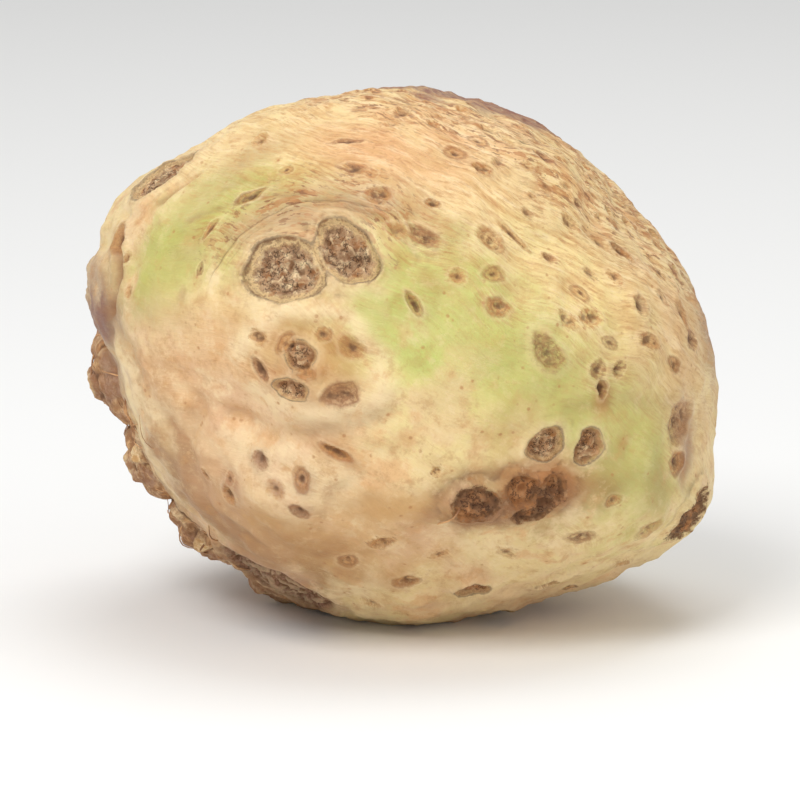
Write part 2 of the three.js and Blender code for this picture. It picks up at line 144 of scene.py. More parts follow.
# Marks by where they show in the photograph: x, y, half length, half width, turn in degrees, kind.
SEEN_MARKS = (
    (390, 181.5, 8.0, 7.0, 0, "cork"),
    (418, 173.2, 7.4, 5.6, -42, "cork"),
    (402.5, 178.5, 15.4, 9.6, 10, "lip"),
    (378, 212, 1.9, 1.7, 0, "ring"),
    (390.5, 215, 2.4, 1.8, 40, "spot"),
    (397, 220.5, 3.4, 3.0, 0, "cork"),
    (399.5, 228.5, 2.2, 1.8, 0, "spot"),
    (407.5, 211, 1.7, 1.3, 0, "spot"),
    (421, 217, 2.6, 2.0, -20, "spot"),
    (379, 227, 2.9, 1.3, -60, "slit"),
    (393, 236, 3.8, 2.4, -10, "cork"),
    (416, 238.5, 3.6, 2.7, 20, "ring"),
    (314, 166, 3.4, 2.8, 60, "spot"),
    (334, 137, 8.0, 5.2, 42, "cork"),
    (355.5, 161.5, 2.3, 0.9, 55, "slit"),
    (351, 180.5, 1.3, 0.9, 80, "spot"),
    (318.5, 190.5, 1.6, 1.3, 70, "spot"),
    (317.5, 175, 1.3, 1.0, 80, "spot"),
    (378.5, 121, 2.0, 1.4, 20, "spot"),
    (390.5, 134.5, 1.4, 1.1, 20, "spot"),
    (374, 146.5, 3.6, 1.4, 20, "slit"),
    (422, 134.5, 2.6, 1.8, -10, "spot"),
    (429.5, 136.5, 1.5, 1.0, -30, "spot"),
    (432.5, 147, 2.8, 2.1, -15, "ring"),
    (418.5, 121.5, 3.2, 0.9, -5, "slit"),
    (439.5, 113.5, 1.5, 1.2, 0, "spot"),
    (468.5, 127, 2.4, 1.6, -30, "spot"),
    (481, 134.5, 2.2, 1.8, -10, "ring"),
    (488.5, 131.5, 1.6, 1.3, 0, "spot"),
    (510, 142, 1.6, 1.2, -40, "spot"),
    (503.5, 146.5, 1.4, 1.0, -40, "spot"),
    (458, 150.5, 1.7, 0.9, -20, "slit"),
    (441.5, 163.5, 2.3, 1.5, -30, "spot"),
    (453.5, 165.5, 3.2, 2.1, -35, "ring"),
    (484.5, 167, 3.4, 2.1, -40, "ring"),
    (495, 165, 4.6, 0.9, -42, "slit"),
    (486, 183, 2.2, 1.8, 0, "spot"),
    (469.5, 184, 1.7, 1.5, 0, "spot"),
    (449.5, 197, 2.5, 1.2, -60, "slit"),
    (488.5, 198, 2.5, 2.0, 20, "ring"),
    (511, 219, 4.0, 3.0, -40, "ring"),
    (521, 159.5, 2.6, 1.5, -25, "spot"),
    (535, 168.5, 2.2, 1.6, -25, "spot"),
    (545, 172.5, 3.4, 1.0, -15, "slit"),
    (538, 154, 1.3, 1.0, -20, "spot"),
    (549.5, 159, 1.6, 1.2, -30, "spot"),
    (559, 170.5, 2.0, 1.5, -30, "spot"),
    (511, 175.5, 1.6, 1.0, -40, "spot"),
    (501.5, 155, 1.5, 1.0, -30, "spot"),
    (530.5, 182.5, 1.6, 1.2, -30, "spot"),
    (542, 184, 1.8, 1.4, -30, "spot"),
    (563, 182, 1.9, 1.5, -40, "spot"),
    (526.5, 191.5, 2.2, 1.2, -30, "spot"),
    (553.5, 197.5, 2.4, 1.9, -60, "spot"),
    (564, 193.5, 2.0, 1.5, -60, "spot"),
    (573.5, 202, 3.4, 2.2, -50, "spot"),
    (520.5, 204, 2.3, 1.6, -40, "ring"),
    (530.5, 203, 2.4, 2.2, 0, "ring"),
    (540, 214.5, 2.0, 1.3, -20, "spot"),
    (558, 213.5, 3.0, 1.7, -10, "ring"),
    (577, 212, 3.0, 2.0, -20, "spot"),
    (569, 224, 2.3, 1.6, -10, "ring"),
    (534, 227, 2.2, 1.6, 60, "spot"),
    (543, 226.5, 1.7, 1.2, 60, "spot"),
    (535, 235.5, 2.0, 1.2, -70, "slit"),
    (571, 250.5, 5.6, 4.2, 0, "ring"),
    (570, 269, 3.2, 2.4, 0, "ring"),
    (509.5, 261, 3.9, 3.7, 60, "cork"),
    (529.5, 262, 4.1, 2.8, 80, "cork"),
    (498.5, 282, 3.7, 3.2, 40, "bark"),
    (511, 281.5, 4.0, 3.2, 60, "bark"),
    (504, 291, 4.2, 2.6, 10, "bark"),
    (478, 289.5, 4.6, 4.0, 20, "bark"),
    (576.5, 293.5, 6.5, 4.8, 20, "bark"),
    (459.5, 273.5, 1.2, 0.9, 50, "spot"),
    (379, 268.5, 2.0, 1.8, 20, "spot"),
    (385.5, 282, 2.3, 1.6, -40, "spot"),
    (397.5, 277.5, 2.6, 1.9, 80, "spot"),
    (397, 291.5, 2.2, 1.4, -30, "spot"),
    (364.5, 284, 2.2, 1.7, -60, "ring"),
    (364.5, 277, 1.4, 1.0, 70, "spot"),
    (353.5, 275, 1.6, 1.2, 70, "spot"),
    (413.5, 265, 3.8, 1.1, -28, "slit"),
    (419, 314.5, 2.6, 1.8, 60, "ring"),
    (434.5, 306, 2.8, 1.6, 15, "ring"),
)

# Marks on the part of the front that the next root hides in the photograph, in the same terms.
HIDDEN_MARKS = (
    (446, 324, 2.6, 1.9, 0, "ring"),
    (461, 312, 1.8, 1.2, 20, "spot"),
    (476, 327, 3.6, 2.6, -10, "cork"),
    (492, 311, 2.2, 1.5, -30, "spot"),
    (510, 325, 2.4, 1.8, 10, "ring"),
    (526, 304, 2.8, 2.0, -20, "ring"),
    (541, 287, 1.7, 1.3, 40, "spot"),
    (545, 315, 2.0, 1.4, -40, "spot"),
    (558, 300, 3.2, 2.4, -60, "ring"),
    (430, 334, 1.8, 1.3, 0, "spot"),
)

# Marks where the photograph doesn't look follow a rule: up to an angle from the crown in degrees,
# the smallest and largest half length, and the clear skin between two.
MARK_RULE = (
    (42, 0.9, 1.9, 2.6),
    (62, 1.1, 2.7, 4.6),
    (95, 1.4, 5.2, 6.2),
    (180, 1.8, 4.6, 5.0),
)
MARK_TRIES = 12000
CORK_FROM = 3.4

# Folds of the skin by where they show in the photograph: depth and width in millimetres, how dark the
# painted shade in the groove is, and places along each.
SEEN_FOLDS = (
    (1.0, 1.3, 0.85, ((314, 168), (314, 184), (311, 198), (303, 208), (297, 212))),
    (0.5, 1.0, 0.6, ((333, 150), (340, 143), (349, 137))),
    (0.3, 0.8, 0.5, ((347, 158), (362, 151), (380, 147), (398, 146))),
    (0.3, 0.8, 0.45, ((404, 150), (424, 154), (442, 163), (452, 176))),
    (0.75, 2.0, 0.3, ((366, 247), (380, 254), (398, 257), (420, 254), (438, 247))),
    (0.6, 2.6, 0.3, ((320, 220), (328, 238), (341, 260), (352, 278))),
    (0.5, 1.8, 0.25, ((352, 240), (346, 262), (356, 290), (376, 305))),
    (0.4, 1.6, 0.2, ((362, 142), (376, 140), (392, 146))),
    (0.4, 1.6, 0.25, ((424, 276), (410, 286), (404, 300))),
    (0.35, 1.5, 0.2, ((520, 246), (545, 240), (568, 242))),
    (0.5, 1.8, 0.6, ((462, 284), (474, 276), (490, 275), (500, 274))),
)

# The raised cushion ring round the cluster of marks under the double eye, painted pale as a highlight: where it
# shows, half length, half width, turn, how far it stands out, and how wide it is as a share of its size.
CUSHION = (401, 225, 14.2, 9.8, -6)
CUSHION_HEIGHT = 0.5
CUSHION_WIDTH = 0.17

# Slow waves of growth over the whole body: wavelength and height.
WAVE_LENGTH = 34
WAVE_HEIGHT = 0.55
WAVE_COUNT = 14

# Stubs of cut roots: on each knob of the root end, a millimetre of half width for so many degrees of it,
# and smaller ones between by half width, height and the clear skin between two.
STUB_OF_KNOB = 0.28
STUB_HALF = (1.2, 2.4)
STUB_HEIGHT = (0.8, 2.2)
STUB_CLEAR = 5.0
STUB_TRIES = 160

# The mesh: the sphere's first subdivisions, and the longest edge on plain skin, on rough skin and in marks.
FIRST_SUBDIVISIONS = 6
EDGE_PLAIN = 1.25
EDGE_ROUGH = 0.8
EDGE_MARK = 0.62
EDGE_EYE = 0.42
MOST_TRIANGLES = 198000


def chance(index, stream):
    """A repeatable draw from 0 to 1."""
    wave = np.sin(index * 12.9898 + stream * 78.233) * 43758.5453
    return wave - np.floor(wave)


def between(low, high, share):
    return low + (high - low) * share


def drawn(index, stream):
    """Directions drawn evenly over the sphere."""
    z = 2 * chance(index, stream) - 1
    turn = 2 * math.pi * chance(index, stream + 1)
    flat = np.sqrt(1 - z * z)
    return np.stack((flat * np.cos(turn), flat * np.sin(turn), z), axis=-1)


def smoothstep(low, high, x):
    t = np.clip((x - low) / (high - low), 0, 1)
    return t * t * (3 - 2 * t)


def bell(x, width):
    return np.exp(-((x / width) ** 2))


def unit(vectors):
    return vectors / np.linalg.norm(vectors, axis=-1, keepdims=True)


def angle_between(directions, other):
    return np.arccos(np.clip(directions @ other, -1, 1)) / DEGREE


def outline_reach(angle):
    """The outline's reach at angles in radians, on a smooth closed curve through its points."""
    count = len(OUTLINE)
    place = (angle / (2 * math.pi) % 1 + 1) * count
    first = np.floor(place).astype(int)
    t = place - first
    a, b, c, d = (OUTLINE[(first + step + count) % count] for step in (-1, 0, 1, 2))
    cubic = 2 * a - 5 * b + 4 * c - d + (3 * (b - c) + d - a) * t
    return b + 0.5 * t * (c - a + t * cubic)


def swelling(directions, lobe):
    at, spread, height = lobe
    return height * np.exp((directions @ at - 1) / (1 - math.cos(spread * DEGREE)))


def growth_waves(directions):
    index = np.arange(WAVE_COUNT)
    ways = drawn(index, 31) * 2 * math.pi * DEPTH_FRONT / WAVE_LENGTH
    phases = 2 * math.pi * chance(index, 33)
    return WAVE_HEIGHT * np.sin(directions @ ways.T + phases).sum(axis=-1) / math.sqrt(WAVE_COUNT / 2)


def plain_reach(directions):
    """The plain rounded form: the outline swept to the front and to the back."""
    across = directions @ X
    rise = directions @ UP
    toward = directions @ TOWARD
    depth = np.where(toward > 0, DEPTH_FRONT, DEPTH_BACK)
    reach = outline_reach(np.arctan2(rise, across))
    even = 1 / np.sqrt((across**2 + rise**2) / reach**2 + (toward / depth) ** 2)
    return even + sum(swelling(directions, lobe) for lobe in LOBES)


def seen(x, y, reach_of):
    """The direction of the skin that shows at a place in the photograph."""
    right = (x - PHOTO_MIDDLE[0]) * MM_PER_PIXEL
    rise = (PHOTO_MIDDLE[1] - y) * MM_PER_PIXEL
    aim = right * X + rise * UP
    back = unit(DISTANCE * TOWARD - aim)

    def outside(steps):
        offsets = aim + np.atleast_1d(steps)[:, None] * back
        return np.linalg.norm(offsets, axis=1) > reach_of(unit(offsets))

    inside = np.flatnonzero(~outside(np.arange(80)))
    far = inside[-1] if len(inside) else -1
    near = far + 1
    for _ in range(12):
        half = (near + far) / 2
        if outside(half)[0]:
            near = half
        else:
            far = half
    return unit(aim + near * back)


seen_lobes = [(seen(x, y, plain_reach), spread, height) for x, y, spread, height in SEEN_LOBES]


def dome_heights(directions):
    """The height of each knob's dome, one column a knob."""
    columns = []
    for at, spread, height in KNOBS:
        share = np.minimum(1, angle_between(directions, at) / spread)
        columns.append(height * (1 - share * share) ** 0.7)
    return np.stack(columns, axis=-1)


def body_reach(directions):
    """The body with its swellings and knobs, before the small relief."""
    swollen = plain_reach(directions) + sum(swelling(directions, lobe) for lobe in seen_lobes)
    return swollen + dome_heights(directions).max(axis=-1) + growth_waves(directions)


def body_point(direction):
    return MIDDLE + direction * body_reach(direction[None])[0]


def placed(at, long, wide, lengthways, **more):
    """A place on the body with the directions of its length and width on the skin."""
    along = unit(lengthways - (lengthways @ at) * at)
    across = np.cross(at, along)
    return {"at": at, "point": body_point(at), "along": along, "across": across, "long": long, "wide": wide, **more}


def seen_marks():
    made = []
    for x, y, long, wide, turn, kind in SEEN_MARKS + HIDDEN_MARKS:
        lengthways = math.cos(turn * DEGREE) * X + math.sin(turn * DEGREE) * UP
        made.append(placed(seen(x, y, body_reach), long, wide, lengthways, kind=kind))
    return made


def ruled_marks(others):
    """Marks by the rule, lying along the rings of growth round the crown."""
    places = [mark["at"] for mark in others]
    halves = [mark["long"] for mark in others]
    made = []
    for i in range(MARK_TRIES):
        at = drawn(i, 1)
        from_crown = angle_between(at, CROWN)
        _, small, large, clear = next(rule for rule in MARK_RULE if from_crown < rule[0])
        long = between(small, large, chance(i, 3) ** 2)
        wide = long * between(0.6, 0.95, chance(i, 4))
        shown = at @ TOWARD > 0.12
        gaps = np.linalg.norm(np.array(places) - at, axis=1) * DEPTH_FRONT
        free = np.all(gaps > long + np.array(halves) + (1.4 if shown else clear))
        in_crown = from_crown * DEGREE * DEPTH_FRONT < CROWN_LONG + long + 1
        if not free or in_crown or (shown and from_crown > 52):
            continue
        plain_kind = "ring" if chance(i, 5) < 0.35 else "spot"
        kind = "cork" if long > CORK_FROM else plain_kind
        around = np.cross(CROWN, at) + 0.6 * (chance(i, 6) - 0.5) * CROWN
        made.append(placed(at, long, wide, around, kind=kind))
        places.append(at)
        halves.append(long)
    return made


def root_stubs():
    made = []
    rooted = [knob for knob in KNOBS if angle_between(knob[0], ROOT_END) < ROOT_SPREAD]
    for i, (at, spread, _) in enumerate(rooted):
        half = STUB_OF_KNOB * spread
        wide = half * between(0.75, 1, chance(i, 17))
        made.append(placed(at, half, wide, X, height=between(*STUB_HEIGHT, chance(i, 18))))
    for i in range(STUB_TRIES):
        at = drawn(i, 11)
        half = between(*STUB_HALF, chance(i, 13))
        height = between(*STUB_HEIGHT, chance(i, 14))
        gaps = (np.linalg.norm(stub["at"] - at) * DEPTH_BACK - half - stub["long"] for stub in made)
        if min(gaps) <= STUB_CLEAR or angle_between(at, ROOT_END) > ROOT_SPREAD:
            continue
        made.append(placed(at, half, half * between(0.75, 1, chance(i, 15)), X, height=height))
    return made


crown = placed(CROWN, CROWN_LONG, CROWN_WIDE, X)
stubs = root_stubs()
listed_marks = seen_marks()
marks = listed_marks + ruled_marks(listed_marks + stubs)


def local(points, mark):
    """How far points are from a mark's middle, where 1 is its edge, and the turn round it."""
    offsets = points - mark["point"]
    u = offsets @ mark["along"] / mark["long"]
    v = offsets @ mark["across"] / mark["wide"]
    return np.hypot(u, v), np.arctan2(v, u)


def ripple(points, length, stream, count=28):
    """An even random swell with about this wavelength in millimetres, mostly from -2 to 2."""
    index = np.arange(count)
    stretch = 2 ** (chance(index, stream + 3) - 0.5)
    ways = drawn(index, stream) * (2 * math.pi / length) * stretch[:, None]
    phases = 2 * math.pi * chance(index, stream + 2)
    total = np.zeros(len(points))
    for way, phase in zip(ways, phases):
        total += np.sin(points @ way + phase)
    return total / math.sqrt(count / 2)


def sphere_mesh():
    """Directions and triangles of an even sphere."""
    bm = bmesh.new()
    bmesh.ops.create_icosphere(bm, subdivisions=FIRST_SUBDIVISIONS, radius=1)
    directions = np.array([v.co[:] for v in bm.verts])
    faces = np.array([[v.index for v in f.verts] for f in bm.faces])
    bm.free()
    return unit(directions), faces


def wanted_edge(directions):
    """The longest edge that the relief at these directions allows."""
    points = MIDDLE + directions * body_reach(directions)[:, None]
    wanted = np.full(len(directions), EDGE_PLAIN)
    rough = dome_heights(directions).max(axis=-1) > 0.4
    rough |= local(points, crown)[0] < 1.5
    wanted[rough] = EDGE_ROUGH
    for mark in marks:
        near = np.linalg.norm(points - mark["point"], axis=1) < 1.5 * mark["long"]
        share = local(points[near], mark)[0]
        edge = EDGE_EYE if mark["long"] > 3 and mark["at"] @ TOWARD > 0 else EDGE_MARK
        reach = 1.3 if mark["kind"] != "lip" else 1.7
        floor = 0 if mark["kind"] != "lip" else 0.75
        inside = (share < reach) & (share > floor)
        edge = EDGE_MARK if mark["kind"] == "lip" else edge
        wanted[near] = np.where(inside, np.minimum(wanted[near], edge), wanted[near])
    for stub in stubs:
        near = np.linalg.norm(points - stub["point"], axis=1) < 1.6 * stub["long"]
        wanted[near] = np.minimum(wanted[near], EDGE_MARK)
    return wanted


def refine(directions, faces):
    """Splits the edges that are too long, so that no triangle has a loose corner on its side."""
    corners = np.sort(np.concatenate((faces[:, [0, 1]], faces[:, [1, 2]], faces[:, [2, 0]])), axis=1)
    edges, of_face = np.unique(corners, axis=0, return_inverse=True)
    of_face = of_face.reshape(3, -1).T
    middles = unit(directions[edges[:, 0]] + directions[edges[:, 1]])
    lengths = np.linalg.norm(directions[edges[:, 0]] - directions[edges[:, 1]], axis=1) * DEPTH_FRONT
    split = lengths > wanted_edge(middles)
    new_index = np.full(len(edges), -1)
    new_index[split] = len(directions) + np.arange(split.sum())
    made = new_index[of_face]
    count = (made >= 0).sum(axis=1)
    parts = [faces[count == 0]]
    for turn in range(3):
        a, b, c = (faces[:, (turn + k) % 3] for k in range(3))
        ab, bc, ca = (made[:, (turn + k) % 3] for k in range(3))
        one = (count == 1) & (ab >= 0)
        parts.append(np.stack((a, ab, c), axis=1)[one])
        parts.append(np.stack((ab, b, c), axis=1)[one])
        two = (count == 2) & (ca < 0)
        parts.append(np.stack((ab, b, bc), axis=1)[two])
        parts.append(np.stack((a, ab, bc), axis=1)[two])
        parts.append(np.stack((a, bc, c), axis=1)[two])
    a, b, c = faces[count == 3].T
    ab, bc, ca = made[count == 3].T
    for corner in ((a, ab, ca), (ab, b, bc), (ca, bc, c), (ab, bc, ca)):
        parts.append(np.stack(corner, axis=1))
    return np.concatenate((directions, middles[split])), np.concatenate(parts)


def skin_mesh():
    directions, faces = sphere_mesh()
    for _ in range(6):
        finer, finer_faces = refine(directions, faces)
        if len(finer_faces) == len(faces) or len(finer_faces) > MOST_TRIANGLES:
            break
        directions, faces = finer, finer_faces
    print("skin triangles", len(faces))
    return directions, faces


directions, faces = skin_mesh()
body = MIDDLE + directions * body_reach(directions)[:, None]
from_crown = angle_between(directions, CROWN)
root_share = 1 - smoothstep(34, 60, angle_between(directions, ROOT_END))
front_share = smoothstep(-0.15, 0.2, directions @ TOWARD)
swirl = ripple(body, 20, 41)

# Flow runs round the crown: its third number is the way out from it, bent round the double eye.
eye_bend = 5 * bell(np.linalg.norm(body - listed_marks[2]["point"], axis=1), 15)
way_out = from_crown * DEGREE * DEPTH_FRONT + 0.9 * swirl + eye_bend
crown_side = unit(np.cross(CROWN, X))
crown_other = np.cross(CROWN, crown_side)
flow = np.stack((body @ crown_side * 0.16, body @ crown_other * 0.16, way_out), axis=1)


def skin_relief():
    """Lumps, streaks and the fine wrinkles that run round the crown."""
    near_crown = 1 - smoothstep(28, 62, from_crown)
    height = 0.2 * ripple(body, 10, 51) + 0.1 * ripple(body, 4.6, 55)
    height += (0.05 + 0.05 * near_crown) * ripple(flow, 2.4, 61)
    height += 0.1 * ripple(flow, 5.5, 65)
    wrinkles = np.sin(2 * math.pi * way_out / 1.9 + swirl) * smoothstep(-0.6, 1.2, ripple(body, 12, 71))
    return height + 0.1 * near_crown * wrinkles


def cushion_ring():
    """How much of each point lies on the raised ring round the cluster, whose pale colour is a painted highlight.
    """
    x, y, long, wide, turn = CUSHION
    lengthways = math.cos(turn * DEGREE) * X + math.sin(turn * DEGREE) * UP
    share, turn_round = local(body, placed(seen(x, y, body_reach), long, wide, lengthways))
    share = share * (1 + 0.05 * np.sin(3 * turn_round + 1)) + 0.03 * ripple(body, 8, 127)
    return bell(share - 1, CUSHION_WIDTH)


def fold_relief():
    """Soft folds of the skin by where they show, each a groove along a bent line with painted shade along it."""
    height = CUSHION_HEIGHT * cushion_ring()
    shade = np.zeros(len(body))
    # stain is how dark the painted shade along this groove is.
    for depth, width, stain, places in SEEN_FOLDS:
        corners = [body_point(seen(x, y, body_reach)) for x, y in places]
        least = np.full(len(body), 1e9)
        for start, end in zip(corners, corners[1:]):
            way = end - start
            share = np.clip((body - start) @ way / (way @ way), 0, 1)
            least = np.minimum(least, np.linalg.norm(body - start - share[:, None] * way, axis=1))
        height -= depth * bell(least, width) - 0.4 * depth * bell(least - 1.9 * width, width)
        # Painted shade along the groove, darkest in its middle.
        shade = np.maximum(shade, stain * bell(least + 0.3 * ripple(body, 4, 129), width))
    return height, shade


def root_relief():
    """The root end is rough, with its creases drawn in where two knobs meet."""
    two = np.sort(dome_heights(directions), axis=1)[:, -2:]
    crease = bell(two[:, 1] - two[:, 0], 0.55) * smoothstep(0.2, 1.4, two[:, 0])
    ridges = 0.42 * np.abs(ripple(body, 6.5, 75)) + 0.2 * np.abs(ripple(body, 2.9, 79))
    return root_share * (ridges - 0.4) - 1.1 * crease, crease


def mark_wobble(turn, i):
    """How uneven a mark's edge is, round its turn."""
    lobes = ((2, 0.07, 91), (3, 0.05, 92), (5, 0.03, 93), (8, 0.02, 94))
    return sum(size * np.sin(count * turn + 6.3 * chance(i, stream)) for count, size, stream in lobes)


def smear_round(mark, points):
    """The stain round a mark, drawn out along the rings of growth."""
    offsets = points - mark["point"]
    way = unit(np.cross(CROWN, mark["at"]))
    along = offsets @ way / (1.9 * mark["long"])
    across = offsets @ np.cross(mark["at"], way) / (0.95 * mark["long"])
    return np.exp(-(along**2) - across**2)


def cork_rims(out):
    """Thin ridges round a corky mark's edge, by the way out from it in millimetres, and the groove inside."""
    return 0.42 * bell(out, 0.4) + 0.28 * bell(out - 1.1, 0.4) - 0.4 * bell(out + 0.75, 0.4)


def mark_relief():
    """Adds every mark's rim, floor, crust and pit, and notes the nearest mark for the colours."""
    height = np.zeros(len(body))
    nearest = np.full(len(body), 3.0)
    brown = np.zeros(len(body))
    cork = np.zeros(len(body))
    size = np.full(len(body), 1.0)
    smear = np.zeros(len(body))
    tone = np.zeros(len(body))
    faded = np.zeros(len(body))
    crust = 1.2 - np.abs(ripple(body, 3.0, 83)) - 0.7 * np.abs(ripple(body, 1.5, 87))
    for i, mark in enumerate(marks):
        near = np.flatnonzero(np.linalg.norm(body - mark["point"], axis=1) < 2.1 * mark["long"])
        kind = KINDS[mark["kind"]]
        share, turn = local(body[near], mark)
        share = share * (1 + mark_wobble(turn, i))
        wide = mark["wide"]
        floor = 1 - smoothstep(0.55, 0.95, share)
        height[near] += min(0.9, wide * kind["rim"]) * bell(share - 1.05, 0.24)
        height[near] -= min(1.0, wide * kind["sink"]) * floor
        height[near] -= wide * kind["pit"] * bell(share, 0.32)
        height[near] += kind["crust"] * floor * np.clip(crust[near], -1, 1)
        height[near] += 0.3 * kind["crust"] * floor * np.cos(2 * math.pi * wide * share / 1.5)
        if mark["kind"] in CORKY:
            height[near] += cork_rims((share - 1) * wide)
        if mark["kind"] == "lip":
            rolls = bell(share - 1.3, 0.2) * np.cos(2 * math.pi * (share - 1.25) / 0.15)
            height[near] += 0.3 * rolls * smoothstep(-0.2, 0.5, np.sin(turn))
            continue
        strength = chance(i, 96) * (0.3 if mark["long"] > CORK_FROM else 0.9)
        smear[near] = np.maximum(smear[near], strength * smear_round(mark, body[near]))
        closer = share < nearest[near]
        mine = near[closer]
        nearest[mine] = share[closer]
        least_brown = 0.65 if i < len(listed_marks) else 0.35
        brown[mine] = kind["brown"] * between(least_brown, 1.1, chance(i, 95))
        cork[mine] = 1.0 if mark["kind"] in CORKY else 0.0
        tone[mine] = 1.0 if mark["kind"] == "bark" else 0.9 * chance(i, 99)
        size[mine] = mark["wide"]
        small = 1 - smoothstep(2.4, 3.6, mark["long"])
        faded[mine] = FADED[mark["kind"]] * between(0.25, 1, small) * smoothstep(0.1, 0.6, chance(i, 100))
    return height, nearest, brown, cork, size, smear, tone, faded


def stub_relief():
    height = np.zeros(len(body))
    cut = np.zeros(len(body))
    for i, stub in enumerate(stubs):
        near = np.flatnonzero(np.linalg.norm(body - stub["point"], axis=1) < 2 * stub["long"])
        share, turn = local(body[near], stub)
        share = share * (1 + 0.1 * np.sin(3 * turn + 6 * chance(i, 97)))
        height[near] += stub["height"] * (1 - smoothstep(0.8, 1.25, share)) - 0.5 * bell(share, 0.5)
        star = 0.14 * np.cos(8 * turn + 6 * chance(i, 98)) * bell(share - 0.55, 0.3)
        height[near] += star
        cut[near] = np.maximum(cut[near], 1 - smoothstep(0.72, 0.95, share))
    return height, cut


def crown_relief():
    """The crown is a sunken scar, where uneven leaf bases wind round a low growing point."""
    share, turn = local(body, crown)
    share = share * (1 + 0.05 * np.sin(3 * turn + 1) + 0.04 * np.sin(5 * turn))
    inside = 1 - smoothstep(0.8, 1.1, share)
    leaf_bases = 0.5 * np.cos(2 * math.pi * share / 0.36 + turn + 0.9 * np.sin(4 * turn))
    growing_point = 1.4 * bell(share, 0.22)
    fibres = 0.28 * np.abs(ripple(body, 1.5, 101)) + 0.2 * ripple(body, 3, 105)
    height = inside * (leaf_bases + growing_point - 1.1 + fibres) + 0.4 * bell(share - 1.18, 0.16)
    return np.where(share < 1.7, height, 0), share


def cavity(level, rounds):
    """How far each point lies below the mean level of the skin round it, in millimetres."""
    pairs = np.concatenate((faces[:, [0, 1]], faces[:, [1, 2]], faces[:, [2, 0]]))
    mean = level.copy()
    count = np.bincount(pairs.ravel(), minlength=len(level))
    for _ in range(rounds):
        total = np.bincount(pairs[:, 0], mean[pairs[:, 1]], minlength=len(level))
        total += np.bincount(pairs[:, 1], mean[pairs[:, 0]], minlength=len(level))
        mean = total / count
    return mean - level


fold_height, fold_shade = fold_relief()
root_height, crease = root_relief()
mark_height, nearest, brown, cork, mark_size, smear, tone, faded = mark_relief()
stub_height, cut = stub_relief()
crown_height, crown_share = crown_relief()
plain = 1 - np.maximum(smoothstep(0.9, 0.6, nearest), 0.7 * cut)
features = root_height * (1 - 0.7 * cut) + mark_height + stub_height + crown_height
skin = body + directions * ((skin_relief() + fold_height) * plain + features)[:, None]
hollow = cavity(features, 6)
skin[:, 2] = np.maximum(0, skin[:, 2])

# Colours as they look, from 0 to 255.
COLOURS = {
    "cream": (238, 213, 156),
    "ivory": (245, 220, 174),
    "yellow": (240, 222, 144),
    "leaf": (190, 200, 108),
    "lime": (212, 209, 126),
    "olive": (190, 190, 100),
    "tan": (226, 176, 124),
    "peach": (238, 196, 146),
    "pink": (230, 190, 152),
    "ochre": (206, 158, 98),
    "rust": (180, 118, 66),
    "umber": (144, 98, 62),
    "brown": (160, 112, 74),
    "plum": (160, 120, 98),
    "wine": (134, 92, 80),
    "straw": (238, 208, 152),
    "ash": (194, 160, 124),
    "bark": (98, 64, 40),
    "dark": (60, 36, 22),
}
